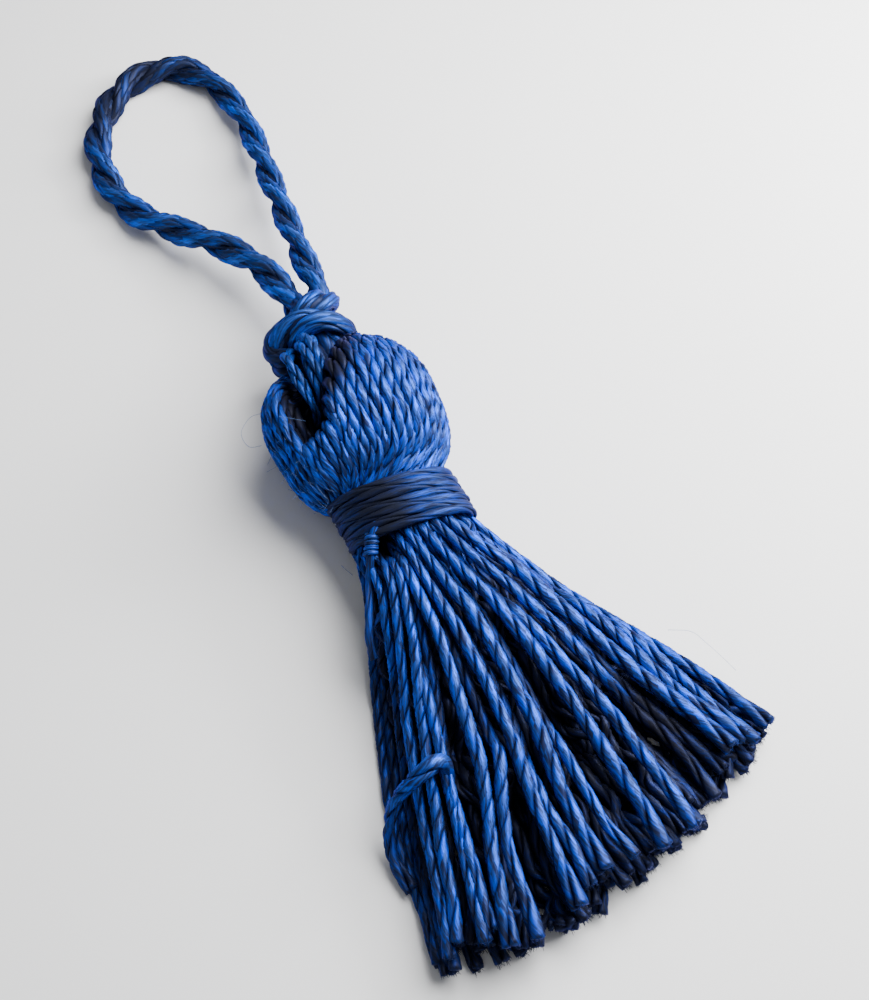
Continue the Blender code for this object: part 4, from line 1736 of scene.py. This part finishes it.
    def head_points(self, neck: np.ndarray) -> tuple[np.ndarray, np.ndarray]:
        """The part of each thread from the crown's hollow down into the neck.

        Args:
            neck: Where each thread leaves the neck, shaped (threads, 3).

        Returns:
            Points shaped (threads, stations, 3), from the crown down, and how far the cleft
            shades each of them.
        """
        _, half_width, half_height, centre_x, centre_z = self.head.sections[0]
        across, up = (neck[:, 0] - centre_x) / half_width, (neck[:, 2] - centre_z) / half_height
        around, outward = np.arctan2(across, up), np.hypot(across, up)
        outer = np.argsort(outward)[-self.outer_threads :]
        inner = np.argsort(outward)[: -self.outer_threads]
        shape = (len(neck), self.head.stations)
        points, shades = np.zeros((*shape, 3)), np.zeros(shape)
        for chosen, depth in ((outer, THREAD_RADIUS), (inner, THREAD_RADIUS + self.layer)):
            ordered = chosen[np.argsort(around[chosen])]
            points[ordered], shades[ordered] = self.head.lay(len(ordered), depth, self.stack)
        shades[inner] += self.inner_shade
        x_and_z = [0, 2]
        shifts = self.jitter * RANDOM.normal(0.0, 1.0, (len(neck), self.jitter_knots, 3))[..., x_and_z]
        place = np.linspace(0.0, self.jitter_knots - 1, self.head.stations)
        before = np.minimum(place.astype(int), self.jitter_knots - 2)
        points[..., x_and_z] += lerp(shifts[:, before], shifts[:, before + 1], (place - before)[:, None])
        points[:, :, 2] = np.maximum(points[:, :, 2], THREAD_RADIUS)
        freed = ramp(points[:, :, 1:2], self.head.leaves_neck, self.head.free_of_neck)
        points[..., x_and_z] = lerp(neck[:, None, x_and_z], points[..., x_and_z], freed)
        kept = self.head.rows_at_depth(THREAD_RADIUS)[:, 0] > self.head.leaves_neck - self.bound_margin
        return points[:, kept][:, ::-1], shades[:, kept][:, ::-1]

    def twisted(
        self, routes: np.ndarray, tones: np.ndarray, sizes: np.ndarray
    ) -> tuple[np.ndarray, np.ndarray, np.ndarray, np.ndarray, np.ndarray]:
        """Twists every thread from its plies, which open and dull towards their cut ends.

        Args:
            routes: The threads' centre lines, shaped (threads, stations, 3).
            tones: Their tones, shaped (threads, stations).
            sizes: Factors on their thickness, shaped alike.

        Returns:
            The plies' centre lines, their radii, tones, directions outwards and the painted shade of
            their grooves, with one thread's plies together.
        """
        threads = len(routes)
        along = lengths_along(routes)
        left = along[:, -1:] - along
        tones = tones * lerp(self.end_tone, 1.0, smooth_step(left / self.dull_end))
        opened = 1.0 - smooth_step(left / self.open_end)
        slack = 1.0 - smooth_step(left / self.untwisting)
        tones = tones * RANDOM.uniform(*self.chance_tones, (threads, 1))
        phase = RANDOM.uniform(0.0, math.tau, (threads, 1))
        rate = RANDOM.uniform(*self.chance_rates, (threads, 1)) * (1.0 - self.untwisted * slack)
        rate = rate / np.maximum(sizes, self.least_rate)
        *lay_phases, swelling_phase = RANDOM.uniform(0.0, math.tau, (3, threads, 1))
        sizes = sizes * (1.0 + self.swelling * np.sin(self.swelling_rate * along + swelling_phase))
        uneven = [(*wave, start) for wave, start in zip(self.lay_waves, lay_phases)]
        rate = rate * (1.0 + waves(along, uneven))
        spread, swelled = self.opening
        plies, outward = wound(routes, THREAD_YARN, phase, sizes * (1.0 + spread * opened), rate)
        radii = THREAD_YARN.radius * sizes * (1.0 + swelled * opened)
        grooves = lerp(*self.groove_shade, ramp(along, *self.grooves_fade))
        radii, tones, grooves = (
            np.repeat(values, THREAD_YARN.members, axis=0) for values in (radii, tones, grooves)
        )
        return plies, radii, tones, outward, grooves

    def build(self, thread: bpy.types.Material) -> None:
        """Makes the threads, in a few bundles, each with the fibres of its cut ends.

        Args:
            thread: Their finish.
        """
        routes, tones, sizes = self.routes()
        plies, radii, tones, outward, grooves = self.twisted(routes, tones, sizes)
        ridges = len(self.skirt.ridges)
        others = np.array_split(np.arange(ridges, len(routes)), self.bundles - 1)
        members = THREAD_YARN.members
        for number, group in enumerate([np.arange(ridges), *others], start=1):
            rows = (members * group[:, None] + np.arange(members)).ravel()
            batch = TubeBatch(
                plies[rows],
                radii[rows],
                tones[rows],
                outward[rows],
                THREAD_YARN.width,
                THREAD_YARN.lean,
                sides=self.sides[number > 1],
                groove_shade=grooves[rows],
            )
            fringe = CutEnds().fibres(plies[rows], radii[rows], tones[rows])
            piece = mesh_object(f"skein_bundle_{number}", [batch, fringe])
            dress(piece, thread, "skein")


@dataclass
class CutEnds:
    """The short filaments that stand out of each cut ply."""

    per_ply: int = 12
    radius: float = 0.03
    length: Pair = (0.30, 0.62)
    rooted: float = 0.25
    filled: float = 0.9
    splay: float = 0.3
    stray: float = 0.08
    clearance: float = 0.01
    tip: float = 0.45
    tone: float = 0.8
    stations: int = 4
    sides: int = 3

    def fibres(self, plies: np.ndarray, radii: np.ndarray, tones: np.ndarray) -> TubeBatch:
        """Filaments that start inside each ply's end and splay a little as they leave it.

        A filament is a straight line along the ply plus a sideways drift that grows with the
        square of the way along it.

        Args:
            plies: The plies' centre lines.
            radii: Their radii.
            tones: Their tones.

        Returns:
            The batch of thin tubes.
        """
        across, up, tangents = (part[:, -1] for part in carried_frames(plies))
        count = len(plies) * self.per_ply
        owner = np.repeat(np.arange(len(plies)), self.per_ply)
        angle = RANDOM.uniform(0.0, math.tau, count)
        place = np.sqrt(RANDOM.uniform(0.0, self.filled, count)) * radii[owner, -1]
        out = np.cos(angle)[:, None] * across[owner] + np.sin(angle)[:, None] * up[owner]
        length = RANDOM.uniform(*self.length, count)[:, None]
        drift = RANDOM.uniform(0.0, self.splay, count)[:, None] * out
        drift = drift + RANDOM.normal(0.0, self.stray, (count, 3))
        start = plies[owner, -1] + place[:, None] * out - self.rooted * tangents[owner]
        share = np.linspace(0.0, 1.0, self.stations)[None, :, None]
        paths = (
            start[:, None]
            + share * (length * tangents[owner])[:, None]
            + share**2 * (length * drift)[:, None]
        )
        paths[:, :, 2] = np.maximum(paths[:, :, 2], self.radius + self.clearance)
        radius = np.tile(self.radius * np.linspace(1.0, self.tip, self.stations), (count, 1))
        tone = np.repeat(self.tone * tones[owner, -1:], self.stations, axis=1)
        return TubeBatch(paths, radius, tone, sides=self.sides, groove_shade=0.0)


@dataclass
class StrayFibres:
    """Loose pale hairs: three that stand off along listed routes, and a fine fuzz at the left."""

    hairs: tuple[tuple[Row, ...], ...] = (
        (
            (-5.9, 13.4, 5.0),
            (-7.0, 13.9, 4.4),
            (-8.1, 13.3, 4.0),
            (-8.4, 12.4, 4.0),
            (-8.2, 11.3, 4.2),
            (-7.4, 10.5, 5.0),
        ),
        (
            (14.8, -18.6, 3.4),
            (16.5, -19.4, 3.0),
            (17.4, -20.6, 2.2),
            (18.1, -22.0, 1.6),
            (18.6, -23.3, 1.2),
        ),
        (
            (-5.7, -1.4, 2.4),
            (-5.6, -2.1, 2.8),
            (-5.4, -3.0, 3.2),
        ),
    )
    radius: float = 0.018
    stations: int = 40
    fuzz: int = 50
    fuzz_rows: tuple[int, int] = (8, 24)
    fuzz_angles: Pair = (math.radians(-100.0), math.radians(-50.0))
    fuzz_depth: float = 0.1
    fuzz_radius: float = 0.013
    fuzz_length: Pair = (0.4, 1.2)
    fuzz_rise: float = 0.35
    fuzz_slants: Row = (0.24, 0.84, 0.24)
    fuzz_bend: float = 0.4
    fuzz_stations: int = 8

    def hair_batch(self) -> TubeBatch:
        """The placed hairs, each a smooth curve through its route.

        Returns:
            The batch of thin tubes.
        """
        paths = np.array([smooth_path(route, self.stations) for route in self.hairs])
        full = np.ones(paths.shape[:2])
        return TubeBatch(paths, self.radius * full, full, sides=4, groove_shade=0.0)

    def fuzz_batch(self, head: Head) -> TubeBatch:
        """Short curved fibres that leave the head's left side, on random slants.

        Args:
            head: The head, whose widest sections the fibres start on.

        Returns:
            The batch of thin tubes.
        """
        rows = head.rows_at_depth(self.fuzz_depth)
        y, half_width, half_height, centre_x, centre_z = rows[RANDOM.integers(*self.fuzz_rows, self.fuzz)].T
        angle = RANDOM.uniform(*self.fuzz_angles, self.fuzz)
        right, up = np.sin(angle), np.cos(angle)
        start = np.stack([centre_x + half_width * right, y, centre_z + half_height * up], axis=-1)
        outward = np.stack([right, np.zeros(self.fuzz), up], axis=-1)
        length = RANDOM.uniform(*self.fuzz_length, self.fuzz)[:, None]
        slant = RANDOM.normal(0.0, 1.0, (self.fuzz, 3)) * np.array(self.fuzz_slants)
        slant = unit(self.fuzz_rise * outward + slant)
        bend = RANDOM.normal(0.0, self.fuzz_bend, (self.fuzz, 1, 3))
        share = np.linspace(0.0, 1.0, self.fuzz_stations)[None, :, None]
        paths = start[:, None] + length[:, None] * (share * slant[:, None] + share**2 * bend)
        full = np.ones(paths.shape[:2])
        return TubeBatch(paths, self.fuzz_radius * full, full, sides=3, groove_shade=0.0)

    def build(self, fibre: bpy.types.Material, head: Head) -> None:
        """Makes the hairs and the fuzz as one mesh."""
        piece = mesh_object("stray_fibres", [self.hair_batch(), self.fuzz_batch(head)])
        dress(piece, fibre, "skein")


def main() -> None:
    """Builds the studio and the tassel's sub-assemblies in order."""
    logging.basicConfig(level=logging.INFO, format="%(name)s %(message)s")
    studio = Studio()
    studio.make_camera()
    cord_thread = CORD_FINISH.build()
    HangingLoop().build(cord_thread)
    LoopKnot().build(cord_thread)
    NeckBinding().build(BINDING_FINISH.build())
    skein = Skein()
    skein.build(SKEIN_FINISH.build())
    StrayFibres().build(HAIR_FINISH.build(), skein.head)
    studio.make_floor()
    studio.make_lights()


if __name__ == "__main__":
    main()
